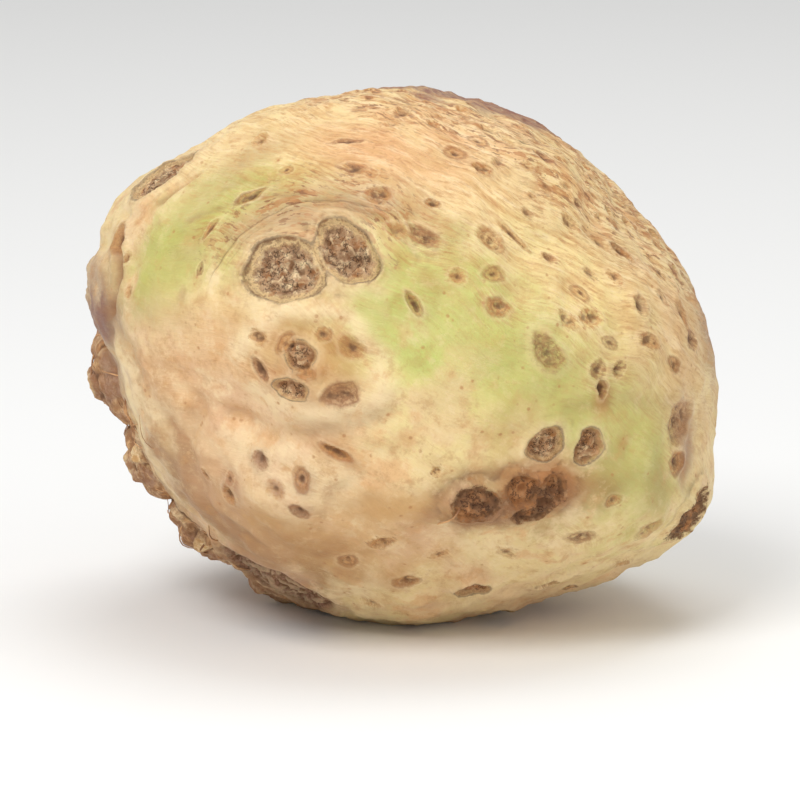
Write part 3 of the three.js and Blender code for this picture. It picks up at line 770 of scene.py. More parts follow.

# Patches of colour by where they show in the photograph: x, y, half length, half width, turn, colour, strength.
# Some patches stand for light, as marked: painted shade at the lower left and a painted highlight under the
# cluster.
PATCHES = (
    (460, 120, 26, 12, -5, "tan", 0.65),
    (525, 160, 34, 16, -34, "peach", 0.75),
    (560, 205, 22, 13, -62, "peach", 0.8),
    (425, 150, 24, 12, -8, "peach", 0.35),
    (342, 170, 17, 10, 52, "olive", 0.95),
    (376, 152, 20, 7, 22, "olive", 0.65),
    (400, 150, 18, 6, 6, "ash", 0.8),
    (430, 160, 22, 7, -14, "olive", 0.5),
    (466, 200, 26, 12, -34, "leaf", 0.6),
    (505, 232, 28, 13, -42, "olive", 0.7),
    (555, 266, 21, 13, -48, "olive", 0.75),
    (480, 255, 16, 9, -40, "leaf", 0.35),
    (447, 238, 17, 10, -32, "yellow", 0.8),
    (470, 272, 16, 9, -15, "cream", 0.6),
    # Painted highlight on the bulge under the cluster.
    (405, 246, 18, 6, 4, "ivory", 0.8),
    (350, 240, 16, 22, 20, "pink", 0.65),
    (385, 285, 26, 18, -30, "pink", 0.7),
    (420, 300, 20, 14, -20, "peach", 0.6),
    (400, 200, 12, 6, 0, "peach", 0.4),
    (337, 243, 9, 3, 80, "plum", 0.28),
    (304, 228, 10, 16, -70, "wine", 0.8),
    (305, 186, 8, 15, 80, "umber", 0.5),
    (305, 203, 5, 13, 80, "wine", 0.8),
    (322, 241, 13, 3.4, -61, "ivory", 0.6),
    (338, 244, 11, 2.2, -72, "rust", 0.35),
    (314, 166, 4, 4, 60, "rust", 0.7),
    (388, 268, 8, 4, 0, "ivory", 0.6),
    (506, 270, 5, 4, 60, "rust", 0.6),
    (402, 179, 14.5, 8.5, 10, "straw", 0.7),
    # Painted shade at the lower left, where the neighbouring roots shadow it.
    (364, 298, 20, 8, -38, "umber", 0.85),
    (440, 291, 13, 5, 0, "ochre", 0.75),
    (398, 157, 15, 4.2, 4, "olive", 0.75),
    (398, 155, 13, 2.4, 4, "umber", 0.4),
    (364, 174, 4.5, 7, 15, "olive", 0.6),
    (441, 184, 9, 5, -58, "olive", 0.65),
    (430, 196, 6, 3, -20, "leaf", 0.6),
    (456, 226, 8, 5, -40, "leaf", 0.45),
    (352, 149, 6.5, 5.5, 40, "ash", 0.9),
    (371, 131, 10, 4.4, 24, "ash", 0.7),
    (440, 125, 15, 6, -5, "tan", 0.95),
    (556, 186, 9, 6, -50, "pink", 0.5),
    (575, 228, 7, 8, -80, "ochre", 0.45),
    (430, 150, 9, 3.5, -10, "plum", 0.45),
    (432, 207, 6, 4, -35, "olive", 0.75),
    (447, 217, 6, 4, -40, "leaf", 0.5),
    (365, 206, 4, 4, 0, "ochre", 0.5),
    (340, 241, 6, 12, 24, "tan", 0.5),
    (323, 221, 3, 6, 15, "tan", 0.4),
    (320, 209, 4, 3, 0, "ivory", 0.5),
    # Painted highlight on the bulge under the cluster.
    (384, 246, 7, 2.6, 0, "ivory", 0.8),
    (512, 132, 11, 7, -36, "cream", 0.85),
    (502, 164, 10, 6, -34, "cream", 0.8),
    (562, 284, 7, 5, -45, "umber", 0.35),
    (325, 177, 5, 5, 60, "olive", 0.6),
    (455, 160, 7, 4, -20, "ash", 0.3),
    (334, 137, 9, 6, 42, "ash", 0.5),
    (306, 207, 5, 3, 0, "bark", 0.5),
    # Painted shade at the lower left limb, where the neighbouring roots shadow it.
    (345, 285, 5, 10, 30, "umber", 0.45),
    (575, 251, 5.4, 4.6, 80, "ash", 0.7),
    (572.5, 268.4, 4, 3, 80, "plum", 0.6),
    (515, 274, 5, 3.6, 0, "rust", 0.6),
    (504, 286, 8, 5, 0, "rust", 0.85),
    # Painted shade at the lower left, where the neighbouring roots shadow it.
    (386, 302, 26, 11, -25, "ochre", 0.7),
    (352, 262, 6, 12, 25, "ochre", 0.5),
    # Painted shade along the valley below the cluster.
    (400, 258, 14, 1.8, 0, "ochre", 0.6),
    (536, 241, 3.2, 2, -70, "rust", 0.7),
    (546.6, 260.8, 2, 1.5, 70, "rust", 0.5),
    (551, 206, 2.2, 1.4, 80, "rust", 0.5),
    (530, 164.5, 3.6, 2.2, -25, "rust", 0.5),
    (519, 187.8, 3.2, 1.9, -30, "rust", 0.5),
    (456, 185.7, 2.4, 1.5, -45, "rust", 0.4),
    (413.5, 215.5, 2, 1.7, 0, "rust", 0.6),
    (406.5, 228, 2.2, 1.4, 10, "rust", 0.6),
    (413, 265, 5, 2.2, -28, "rust", 0.75),
    (342.6, 192.4, 1.6, 1, 80, "umber", 0.5),
    (406.7, 311.5, 2, 1.6, 30, "umber", 0.5),
    (528, 162, 8, 5, -30, "plum", 0.4),
    (528, 157, 6, 3, -25, "rust", 0.35),
    # Painted shade at the lower left, where the neighbouring roots shadow it.
    (362, 298, 20, 7, -38, "umber", 0.6),
    (392, 278, 8, 6.5, -20, "ivory", 0.6),
    (508, 262, 3, 5, 0, "ochre", 0.4),
    # Painted shade along the bottom, where the neighbouring roots shadow it.
    (397, 307, 10, 6, -20, "umber", 0.35),
    (399, 224, 10, 8, -10, "ochre", 0.75),
    (392, 213, 4.2, 3.0, 30, "rust", 0.6),
    (401, 227, 4.6, 3.2, 0, "rust", 0.55),
    (417, 216, 4.4, 2.4, -10, "rust", 0.65),
    (395, 236, 5.4, 3.2, -20, "rust", 0.55),
    (416, 238, 3.4, 2.8, 20, "rust", 0.6),
    (378, 227, 3.2, 1.8, -60, "rust", 0.6),
    (515, 140, 30, 14, -36, "cream", 0.75),
    (548, 178, 20, 13, -52, "cream", 0.55),
    (528, 190, 20, 9, -40, "yellow", 0.4),
    (352, 214, 12, 9, 20, "tan", 0.35),
    (360, 240, 13, 9, 30, "tan", 0.4),
    (397, 161, 17, 6, 4, "ash", 0.45),
    (430, 204, 15, 8, -26, "leaf", 0.35),
    (406, 248.5, 6, 3, 4, "ash", 0.7),
    # Painted highlight on the bulge under the cluster.
    (383, 247, 7, 4, 4, "ivory", 0.6),
    # Painted shade at the lower left, where the neighbouring roots shadow it.
    (368, 296, 30, 12, -38, "umber", 0.35),
    # Painted shade at the lower left, where the neighbouring roots shadow it.
    (380, 302, 26, 13, 28, "ochre", 0.3),
    (352, 150, 16, 9, 20, "olive", 0.6),
    (396, 158, 16, 5, 4, "ash", 0.6),
    (326, 178, 10, 9, 60, "olive", 0.35),
    (440, 125, 18, 9, -12, "tan", 0.45),
    (503, 288, 20, 7, 12, "umber", 0.45),
    (365, 262, 15, 10, 40, "pink", 0.5),
    (392, 279, 11, 8, -20, "ivory", 0.65),
    (379, 268.5, 2.4, 2.1, 20, "plum", 0.75),
    (386, 282, 2.6, 1.9, -40, "plum", 0.75),
    (398, 278, 2.9, 2.2, 80, "plum", 0.75),
    (397.5, 291, 2.6, 1.7, -30, "plum", 0.75),
    (364.5, 281, 2.4, 3.4, 20, "plum", 0.6),
    (416, 266.5, 4.2, 1.6, -28, "rust", 0.9),
    (509, 279, 8, 6, 0, "rust", 0.9),
    (499, 290, 13, 5, 4, "umber", 0.85),
    (478, 290, 7, 5, 10, "umber", 0.6),
    (574, 262, 8, 4, 80, "plum", 0.6),
    (497, 258, 6, 8, 0, "ochre", 0.4),
)


# Colours that the skin's pale blotches leave clear.
CLEAR_COLOURS = ("leaf", "lime", "olive", "rust", "umber", "wine", "bark", "ochre", "ash", "plum")


def linear(colour):
    """A colour's linear values, as the shader takes them."""
    share = np.array(COLOURS[colour]) / 255
    return np.where(share <= 0.04045, share / 12.92, ((share + 0.055) / 1.055) ** 2.4)


def blend(colours, share, name):
    share = np.clip(share, 0, 1)[:, None]
    return colours * (1 - share) + linear(name) * share


def skin_colours():
    """The slow colours of the skin, before its streaks, marks and the painted shade in its hollows."""
    cloud = ripple(body, 26, 111)
    small_cloud = ripple(body, 9, 115)
    colours = np.tile(linear("cream"), (len(body), 1))
    clear = np.zeros(len(body))
    behind = 1 - front_share
    colours = blend(colours, behind * 0.8 * (1 - smoothstep(35, 75, from_crown)), "tan")
    colours = blend(colours, behind * 0.75 * bell(from_crown - 78, 20) * smoothstep(-0.9, 0.9, cloud), "lime")
    colours = blend(colours, behind * 0.55 * smoothstep(90, 120, from_crown), "pink")
    for x, y, long, wide, turn, name, strength in PATCHES:
        lengthways = math.cos(turn * DEGREE) * X + math.sin(turn * DEGREE) * UP
        patch = placed(seen(x, y, body_reach), long, wide, lengthways)
        share = local(body, patch)[0] * (1 + 0.12 * small_cloud)
        weight = strength * np.exp(-((share / 1.05) ** 3))
        colours = blend(colours, weight, name)
        if name in CLEAR_COLOURS:
            clear = np.maximum(clear, weight)
    # Ivory on the raised ring round the cluster: a painted highlight.
    colours = blend(colours, 0.7 * cushion_ring(), "ivory")
    colours = blend(colours, 0.8 * root_share * smoothstep(-0.9, 0.8, small_cloud), "ochre")
    colours = blend(colours, 0.8 * root_share * smoothstep(-1.0, 0.8, ripple(body, 5, 119)), "plum")
    colours = blend(colours, 0.45 * root_share * smoothstep(-0.4, 1.2, cloud), "wine")
    colours = blend(colours, 0.75 * smoothstep(0.1, 1.6, dome_heights(directions)[:, 0]), "wine")
    # Painted shade in the creases where two knobs meet, in bark brown.
    colours = blend(colours, 0.5 * crease, "bark")
    inside = 1 - smoothstep(0.85, 1.15, crown_share)
    colours = blend(colours, 0.9 * inside, "umber")
    colours = blend(colours, 0.5 * bell(crown_share - 1.15, 0.16), "plum")
    # Painted shade in the folds' grooves, in umber.
    colours = blend(colours, fold_shade, "umber")
    colours = blend(colours, 0.85 * cut, "ivory")
    return colours, np.maximum(clear, fold_shade)


def crown_stain():
    """The purple-brown stain of the old leaf bases, on the skin round the crown."""
    away = angle_between(directions, STAIN) + 2.2 * ripple(body, 11, 121) + 1.2 * ripple(flow, 3, 123)
    return 1 - smoothstep(19, 29, away)


def add_numbers(mesh, name, values):
    attribute = mesh.attributes.new(name, "FLOAT", "POINT")
    attribute.data.foreach_set("value", values.astype(np.float32))


def skin_piece(material):
    mesh = bpy.data.meshes.new("celeriac_skin")
    mesh.from_pydata((skin * METRE).tolist(), [], faces.tolist())
    mesh.shade_smooth()
    tint = mesh.attributes.new("tint", "FLOAT_COLOR", "POINT")
    colours, clear = skin_colours()
    colours = np.concatenate((colours, np.ones((len(body), 1))), axis=1)
    tint.data.foreach_set("color", colours.astype(np.float32).ravel())
    run = mesh.attributes.new("flow", "FLOAT_VECTOR", "POINT")
    run.data.foreach_set("vector", flow.astype(np.float32).ravel())
    add_numbers(mesh, "mark_share", nearest)
    add_numbers(mesh, "mark_brown", brown)
    add_numbers(mesh, "mark_cork", cork)
    add_numbers(mesh, "mark_size", mark_size)
    add_numbers(mesh, "clear", clear)
    add_numbers(mesh, "smear", smear)
    add_numbers(mesh, "mark_tone", tone)
    add_numbers(mesh, "mark_faded", faded)
    add_numbers(mesh, "crown_stain", crown_stain())
    add_numbers(mesh, "hollow", hollow)
    add_numbers(mesh, "root_share", root_share)
    add_numbers(mesh, "crown_share", crown_share)
    near_crown = 1 - smoothstep(25, 75, from_crown)
    above_eye = body - listed_marks[2]["point"]
    lined = bell(np.linalg.norm(above_eye, axis=1), 20) * smoothstep(-6, 5, above_eye @ UP)
    add_numbers(mesh, "crown_near", near_crown)
    add_numbers(mesh, "lined", np.maximum(near_crown, lined))
    add_numbers(mesh, "streaky", 1 - 0.85 * smoothstep(56, 104, from_crown))
    add_numbers(mesh, "cut", cut)
    mesh.materials.append(material)
    piece = bpy.data.objects.new("celeriac_skin", mesh)
    bpy.context.scene.collection.objects.link(piece)
    return piece


class Graph:
    """A material's nodes, joined by short calls."""

    def __init__(self, name):
        self.material = bpy.data.materials.new(name)
        self.material.use_nodes = True
        self.tree = self.material.node_tree
        self.tree.nodes.clear()

    def add(self, kind, values=None, **settings):
        node = self.tree.nodes.new("ShaderNode" + kind)
        for name, value in settings.items():
            setattr(node, name, value)
        for name, value in (values or {}).items():
            if isinstance(value, bpy.types.NodeSocket):
                self.tree.links.new(value, node.inputs[name])
            else:
                node.inputs[name].default_value = value
        return node

    def attribute(self, name, output="Fac"):
        return self.add("Attribute", attribute_name=name).outputs[output]

    def math(self, operation, a, b=0.0, clamp=False):
        return self.add("Math", {0: a, 1: b}, operation=operation, use_clamp=clamp).outputs[0]

    def ramp(self, value, low, high, start=0.0, end=1.0):
        values = {"Value": value, "From Min": low, "From Max": high, "To Min": start, "To Max": end}
        return self.add("MapRange", values, interpolation_type="SMOOTHSTEP").outputs[0]

    def mix(self, share, a, b, blend_type="MIX"):
        node = self.add("Mix", {0: share, 6: a, 7: b}, data_type="RGBA", blend_type=blend_type)
        return node.outputs[2]

    def noise(self, vector, scale, detail=4.0, roughness=0.6):
        values = {"Vector": vector, "Scale": scale, "Detail": detail, "Roughness": roughness}
        return self.add("TexNoise", values).outputs["Fac"]

    def cells(self, vector, scale, feature="F1"):
        values = {"Vector": vector, "Scale": scale}
        return self.add("TexVoronoi", values, feature=feature).outputs["Distance"]


def shown(name):
    return (*linear(name), 1.0)


def skin_material():
    g = Graph("celeriac skin")
    place = g.add("TexCoord").outputs["Object"]
    flow_at = g.attribute("flow", "Vector")
    share = g.attribute("mark_share")
    brown_at = g.attribute("mark_brown")
    cork_at = g.attribute("mark_cork")
    smear_at = g.attribute("smear")
    tone_at = g.attribute("mark_tone")
    size_at = g.attribute("mark_size")
    faded_at = g.attribute("mark_faded")
    clear_at = g.math("SUBTRACT", 1.0, faded_at)
    hollow_at = g.attribute("hollow")
    root_at = g.attribute("root_share")
    crown_at = g.attribute("crown_share")
    near_crown = g.attribute("crown_near")
    lined = g.attribute("lined")
    barky = g.ramp(tone_at, 0.9, 1.0)
    not_barky = g.math("SUBTRACT", 1.0, barky)
    streaky = g.attribute("streaky")
    cut_at = g.attribute("cut")
    colour = g.attribute("tint", "Color")

    streaks = g.noise(flow_at, 0.55, 6.0, 0.72)
    fine_streaks = g.noise(flow_at, 1.9, 5.0, 0.72)
    mottle = g.noise(place, 240.0, 6.0, 0.65)
    grain = g.noise(place, 1500.0, 4.0, 0.7)

    dark_streak = g.math("MULTIPLY", g.ramp(streaks, 0.47, 0.6), g.math("MULTIPLY_ADD", lined, 0.5))
    dark_streak.node.inputs[2].default_value = 0.16
    colour = g.mix(g.math("MULTIPLY", dark_streak, streaky), colour, shown("ochre"))
    rust_streak = g.math("MULTIPLY", g.ramp(fine_streaks, 0.5, 0.62), g.math("MULTIPLY_ADD", lined, 0.4))
    rust_streak.node.inputs[2].default_value = 0.05
    colour = g.mix(g.math("MULTIPLY", rust_streak, streaky), colour, shown("rust"))
    patchy = g.noise(place, 105.0, 4.0, 0.6)
    round_crown = g.ramp(near_crown, 0.0, 0.45)
    pale_patch = g.math("MULTIPLY", g.ramp(patchy, 0.5, 0.6), g.math("MULTIPLY", round_crown, 0.6))
    colour = g.mix(pale_patch, colour, shown("cream"))
    pink_patch = g.math("MULTIPLY", g.ramp(patchy, 0.47, 0.37), g.math("MULTIPLY", round_crown, 0.5))
    colour = g.mix(pink_patch, colour, shown("tan"))
    short_flow = g.add("VectorMath", {0: flow_at, 1: (2.3, 2.3, 1.0)}, operation="MULTIPLY").outputs[0]
    open_skin = g.math("SUBTRACT", 1.0, g.attribute("clear"))
    smooth = g.math("MULTIPLY", g.math("SUBTRACT", 1.0, streaky), open_skin)
    cloud = g.noise(place, 55.0, 4.0, 0.6)
    cloudy = g.ramp(smooth, 0.15, 0.7, 0.1, 0.5)
    colour = g.mix(g.math("MULTIPLY", g.ramp(cloud, 0.5, 0.62), cloudy), colour, shown("pink"))
    colour = g.mix(g.math("MULTIPLY", g.ramp(cloud, 0.47, 0.36), cloudy), colour, shown("ivory"))
    blotch = g.noise(place, 120.0, 5.0, 0.62)
    soft = g.ramp(smooth, 0.3, 0.8, 0.0, 0.6)
    blotched = g.math("MULTIPLY", g.ramp(blotch, 0.52, 0.64), soft)
    colour = g.mix(blotched, colour, shown("tan"))
    bleached = g.math("MULTIPLY", g.ramp(blotch, 0.45, 0.34), soft)
    colour = g.mix(bleached, colour, shown("ivory"))
    pale = g.math("MULTIPLY", g.ramp(streaks, 0.47, 0.36), g.math("MULTIPLY", streaky, g.ramp(open_skin, 0.0, 1.0, 0.2, 0.6)))
    colour = g.mix(pale, colour, shown("ivory"))
    mottled = g.math("MULTIPLY", g.ramp(mottle, 0.52, 0.7), 0.35)
    colour = g.mix(mottled, colour, shown("ochre"))
    weave = g.noise(place, 270.0, 5.0, 0.75)
    woven = g.math("MULTIPLY", g.ramp(streaky, 1.0, 0.3, 0.06, 0.36), g.ramp(open_skin, 0.1, 0.9, 0.3, 1.0))
    colour = g.mix(g.math("MULTIPLY", g.ramp(weave, 0.5, 0.68), woven), colour, shown("rust"))
    colour = g.mix(g.math("MULTIPLY", g.ramp(weave, 0.48, 0.36), woven), colour, shown("ivory"))
    where_dashed = g.math("MULTIPLY", g.ramp(lined, 0.0, 0.5), g.ramp(patchy, 0.62, 0.44, 0.35, 1.0))
    dash = g.math("MULTIPLY", g.ramp(g.noise(short_flow, 0.6, 4.0, 0.62), 0.53, 0.58), where_dashed)
    colour = g.mix(g.math("MULTIPLY", dash, 0.7), colour, shown("rust"))
    small_dash = g.math("MULTIPLY", g.ramp(g.noise(short_flow, 1.1, 3.0, 0.6), 0.57, 0.62), where_dashed)
    colour = g.mix(g.math("MULTIPLY", small_dash, 0.85), colour, shown("umber"))

    specks = g.cells(place, 420.0)
    speck = g.math("MULTIPLY", g.ramp(specks, 0.22, 0.08), g.ramp(mottle, 0.48, 0.58))
    colour = g.mix(g.math("MULTIPLY", speck, 0.6), colour, shown("rust"))

    rough_root = g.math("MULTIPLY", root_at, g.ramp(g.noise(place, 420.0, 6.0, 0.75), 0.4, 0.56))
    colour = g.mix(g.math("MULTIPLY", rough_root, 0.8), colour, shown("umber"))

    smeared = g.math("MULTIPLY", smear_at, g.ramp(fine_streaks, 0.38, 0.6))
    colour = g.mix(g.math("MULTIPLY", smeared, 0.8), colour, shown("rust"))
    halo = g.math("MULTIPLY", g.ramp(share, 1.6, 1.25), g.ramp(share, 1.0, 1.16))
    colour = g.mix(g.math("MULTIPLY", halo, g.math("MULTIPLY", not_barky, 0.16)), colour, shown("ivory"))
    uneven = g.math("SUBTRACT", g.noise(place, 800.0, 6.0, 0.75), 0.5)
    smudge = g.math("SUBTRACT", g.noise(short_flow, 1.3, 5.0, 0.7), 0.5)
    smudge = g.math("MULTIPLY", smudge, g.math("MULTIPLY", faded_at, 4.0))
    crumbled = g.math("MULTIPLY", uneven, g.ramp(barky, 0.0, 1.0, 0.7, 1.7))
    rough_share = g.math("ADD", g.math("ADD", share, crumbled), smudge)
    edge_line = g.math("MULTIPLY", g.ramp(rough_share, 0.62, 0.9), g.ramp(rough_share, 1.2, 0.98))
    ring = g.math("MULTIPLY", edge_line, g.math("MULTIPLY", clear_at, g.ramp(cork_at, 0.0, 1.0, 1.0, 0.35)))
    inside = g.ramp(rough_share, 1.12, 0.75)
    floor_colour = g.mix(g.ramp(grain, 0.35, 0.65), shown("rust"), shown("ochre"))
    floor_colour = g.mix(g.ramp(tone_at, 0.45, 0.8), floor_colour, shown("brown"))
    crumbly = g.ramp(g.noise(place, 1100.0, 3.0, 0.6), 0.43, 0.55, 0.4, 1.0)
    floor_share = g.math("MULTIPLY", g.math("MULTIPLY", inside, crumbly), g.math("MULTIPLY", brown_at, 0.95))
    colour = g.mix(floor_share, colour, floor_colour)
    ring_tone = g.math("MULTIPLY", brown_at, g.ramp(g.noise(place, 180.0, 3.0, 0.6), 0.4, 0.6, 0.15, 0.65))
    colour = g.mix(g.math("MULTIPLY", ring, ring_tone), colour, shown("umber"))
    rings = g.math("SINE", g.math("MULTIPLY", g.math("MULTIPLY", rough_share, size_at), 6.0))
    ringed = g.math("MULTIPLY", g.math("MULTIPLY", g.ramp(rings, 0.1, 0.9), inside), 0.45)
    ringed = g.math("MULTIPLY", ringed, clear_at)
    colour = g.mix(ringed, colour, shown("umber"))
    pit_tone = g.math("MULTIPLY", brown_at, g.ramp(tone_at, 0.1, 0.5, 0.25, 1.0))
    faded_pit = g.math("MULTIPLY", g.ramp(rough_share, 0.85, 0.1), 0.8)
    pit_share = g.math("MAXIMUM", g.ramp(rough_share, 0.45, 0.12), g.math("MULTIPLY", faded_pit, faded_at))
    pit = g.math("MULTIPLY", g.math("MULTIPLY", pit_share, pit_tone), crumbly)
    colour = g.mix(g.math("MULTIPLY", pit, 0.8), colour, shown("bark"))

    crust = g.noise(place, 430.0, 6.0, 0.7)
    clump = g.noise(place, 190.0, 3.0, 0.6)
    cork_inside = g.math("MULTIPLY", g.ramp(rough_share, 1.02, 0.8), cork_at)
    crust_base = g.mix(g.ramp(clump, 0.45, 0.6, 0.0, 0.5), shown("umber"), shown("rust"))
    cork_colour = g.mix(g.ramp(crust, 0.36, 0.54), crust_base, shown("ash"))
    cork_colour = g.mix(g.math("MULTIPLY", g.ramp(clump, 0.54, 0.4), 0.55), cork_colour, shown("bark"))
    flecks = g.math("MULTIPLY", g.ramp(crust, 0.54, 0.62), g.ramp(clump, 0.4, 0.56, 0.4, 1.0))
    cork_colour = g.mix(flecks, cork_colour, shown("ivory"))
    margin = g.ramp(rough_share, 0.7, 0.86)
    margin = g.math("MULTIPLY", margin, g.math("SUBTRACT", 1.0, g.math("MULTIPLY", barky, 0.85)))
    cork_colour = g.mix(g.math("MULTIPLY", margin, 0.85), cork_colour, shown("straw"))
    ring_share = g.math("ADD", g.math("MULTIPLY", margin, 0.45), 0.12)
    cork_colour = g.mix(g.math("MULTIPLY", g.ramp(rings, 0.1, 0.95), ring_share), cork_colour, shown("umber"))
    small_cork = g.math("MULTIPLY", g.ramp(size_at, 5.2, 4.2), 0.35)
    cork_colour = g.mix(small_cork, cork_colour, shown("rust"))
    bark_colour = g.mix(g.ramp(clump, 0.4, 0.62), shown("bark"), shown("rust"))
    cork_colour = g.mix(g.math("MULTIPLY", barky, 0.8), cork_colour, bark_colour)
    colour = g.mix(g.math("MULTIPLY", cork_inside, 0.9), colour, cork_colour)
    winding = g.noise(place, 330.0, 5.0, 0.7)
    crack = g.ramp(g.math("ABSOLUTE", g.math("SUBTRACT", winding, 0.5)), 0.03, 0.006)
    crust_inside = g.math("MULTIPLY", cork_inside, g.ramp(rough_share, 0.82, 0.6))
    colour = g.mix(g.math("MULTIPLY", g.math("MULTIPLY", crack, crust_inside), 0.85), colour, shown("dark"))
    even_share = g.math("ADD", share, g.math("MULTIPLY", uneven, 0.22))
    rim_line = g.math("MULTIPLY", g.ramp(even_share, 0.9, 0.95), g.ramp(even_share, 1.02, 0.97))
    rim_line = g.math("MULTIPLY", g.math("MULTIPLY", rim_line, cork_at), g.ramp(clump, 0.4, 0.55, 0.3, 0.75))
    rim_line = g.math("MULTIPLY", rim_line, g.ramp(barky, 0.0, 1.0, 1.0, 0.2))
    colour = g.mix(rim_line, colour, shown("bark"))

    stain = g.math("MULTIPLY", g.attribute("crown_stain"), g.ramp(fine_streaks, 0.62, 0.42, 0.45, 0.95))
    colour = g.mix(stain, colour, shown("wine"))
    in_crown = g.ramp(crown_at, 1.12, 0.85)
    fibres = g.noise(place, 1300.0, 6.0, 0.8)
    crown_colour = g.mix(g.ramp(fibres, 0.4, 0.62), shown("bark"), shown("plum"))
    crown_colour = g.mix(g.ramp(fibres, 0.62, 0.74), crown_colour, shown("ash"))
    colour = g.mix(g.math("MULTIPLY", in_crown, 0.85), colour, crown_colour)

    star = g.noise(place, 700.0, 5.0, 0.7)
    cut_colour = g.mix(g.ramp(star, 0.4, 0.6), shown("ochre"), shown("ivory"))
    colour = g.mix(g.math("MULTIPLY", cut_at, 0.7), colour, cut_colour)

    # Painted shade in the hollows of the relief, darkest in the deepest ones and kept mostly off the corky floors.
    bare = g.math("SUBTRACT", 1.0, g.math("MULTIPLY", cork_inside, 0.8))
    hollow_shade = g.math("MULTIPLY", g.ramp(hollow_at, 0.1, 0.42), bare)
    colour = g.mix(g.math("MULTIPLY", hollow_shade, 0.65), colour, shown("bark"))
    deep_hollow_shade = g.math("MULTIPLY", g.ramp(hollow_at, 0.35, 0.9), bare)
    colour = g.mix(g.math("MULTIPLY", deep_hollow_shade, 0.7), colour, shown("dark"))
    worn = g.math("MULTIPLY", g.ramp(hollow_at, -0.08, -0.35), g.math("SUBTRACT", 1.0, root_at))
    worn = g.math("MULTIPLY", worn, not_barky)
    colour = g.mix(g.math("MULTIPLY", worn, 0.28), colour, shown("ivory"))

    bumps = g.math("ADD", g.math("MULTIPLY", grain, 0.4), g.math("MULTIPLY", fine_streaks, 1.1))
    crusty = g.math("MULTIPLY", g.math("MAXIMUM", cork_inside, in_crown), g.math("MULTIPLY", crust, 2.6))
    rooty = g.math("MULTIPLY", g.ramp(root_at, 0.0, 1.0, 0.5, 1.3), mottle)
    height = g.math("ADD", g.math("ADD", bumps, crusty), rooty)
    bump = g.add("Bump", {"Height": height, "Strength": 0.55, "Distance": 0.0005})
    dry = g.math("MAXIMUM", cork_inside, g.math("MAXIMUM", in_crown, root_at))
    shine = g.ramp(dry, 0.0, 1.0, 0.5, 0.85)
    surface = g.add(
        "BsdfPrincipled",
        {
            "Base Color": colour,
            "Roughness": shine,
            "Normal": bump.outputs[0],
            "IOR": 1.42,
            "Subsurface Weight": 0.1,
            "Subsurface Radius": (1.0, 0.55, 0.25),
            "Subsurface Scale": 0.002,
        },
    )
    g.add("OutputMaterial", {"Surface": surface.outputs[0]})
    return g.material


# Rootlets: how many at the root end, their length and half thickness, and the points along each.
ROOTLET_COUNT = 150
ROOTLET_LENGTH = (3.0, 12.0)
ROOTLET_HALF = (0.08, 0.24)
ROOTLET_POINTS = 9
ROOTLET_SIDES = 5

# The thread that lies over the lower front: where it starts in the photograph, and its length.
THREAD_AT = (472, 289.5)
THREAD_LENGTH = 9


def surface_at(at):
    """The dressed skin's point that is nearest to a direction."""
    return skin[np.argmax(directions @ at)]


def tube(path, halves, corners, triangles):
    """Adds a thin round tube along a path, with both ends closed."""
    start = len(corners)
    way = unit(np.gradient(path, axis=0))
    side = unit(np.cross(way, (0.3, 0.5, 0.81)))
    other = np.cross(way, side)
    for point, half, a, b in zip(path, halves, side, other):
        for k in range(ROOTLET_SIDES):
            turn = 2 * math.pi * k / ROOTLET_SIDES
            corners.append(point + half * (math.cos(turn) * a + math.sin(turn) * b))
    for row in range(len(path) - 1):
        for k in range(ROOTLET_SIDES):
            a = start + row * ROOTLET_SIDES + k
            b = start + row * ROOTLET_SIDES + (k + 1) % ROOTLET_SIDES
            triangles.append((a, b, b + ROOTLET_SIDES))
            triangles.append((a, b + ROOTLET_SIDES, a + ROOTLET_SIDES))
    last = start + (len(path) - 1) * ROOTLET_SIDES
    for k in range(1, ROOTLET_SIDES - 1):
        triangles.append((start, start + k + 1, start + k))
        triangles.append((last, last + k, last + k + 1))


def rootlet_path(at, length, lean, curl):
    """A rootlet leaves the skin, leans over and follows it with a curl."""
    along = unit(lean - (lean @ at) * at)
    across = np.cross(at, along)
    path = []
    for t in np.linspace(0, 1, ROOTLET_POINTS):
        run = length * t
        side = curl * length * 0.35 * t * t
        direction = unit(at + (run * along + side * across) / DEPTH_BACK)
        lift = -0.4 + 0.16 * length * math.sin(math.pi * min(1, 1.25 * t))
        path.append(surface_at(direction) + lift * direction)
    path = np.array(path)
    for _ in range(2):
        path[1:-1] = (path[:-2] + 2 * path[1:-1] + path[2:]) / 4
    path[:, 2] = np.maximum(path[:, 2], 0.4)
    return path


def rootlets_piece(material):
    corners = []
    triangles = []
    made = 0
    for i in range(20 * ROOTLET_COUNT):
        at = drawn(i, 131)
        away = angle_between(at, ROOT_END)
        if made == ROOTLET_COUNT or away > 62 or chance(i, 133) < (away / 62) ** 2:
            continue
        if (MIDDLE + at * 50)[2] < 12:
            continue
        made += 1
        length = between(*ROOTLET_LENGTH, chance(i, 134) ** 1.5)
        half = between(*ROOTLET_HALF, chance(i, 135) ** 2)
        path = rootlet_path(at, length, drawn(i, 136), 2 * chance(i, 138) - 1)
        tube(path, np.linspace(half, 0.4 * half, ROOTLET_POINTS), corners, triangles)
    thread = rootlet_path(seen(*THREAD_AT, body_reach), THREAD_LENGTH, -X - 1.6 * UP, 0.3)
    tube(thread, np.linspace(0.22, 0.12, ROOTLET_POINTS), corners, triangles)
    mesh = bpy.data.meshes.new("rootlets")
    mesh.from_pydata((np.array(corners) * METRE).tolist(), [], triangles)
    mesh.shade_smooth()
    mesh.materials.append(material)
    piece = bpy.data.objects.new("rootlets", mesh)
    bpy.context.scene.collection.objects.link(piece)
    return piece


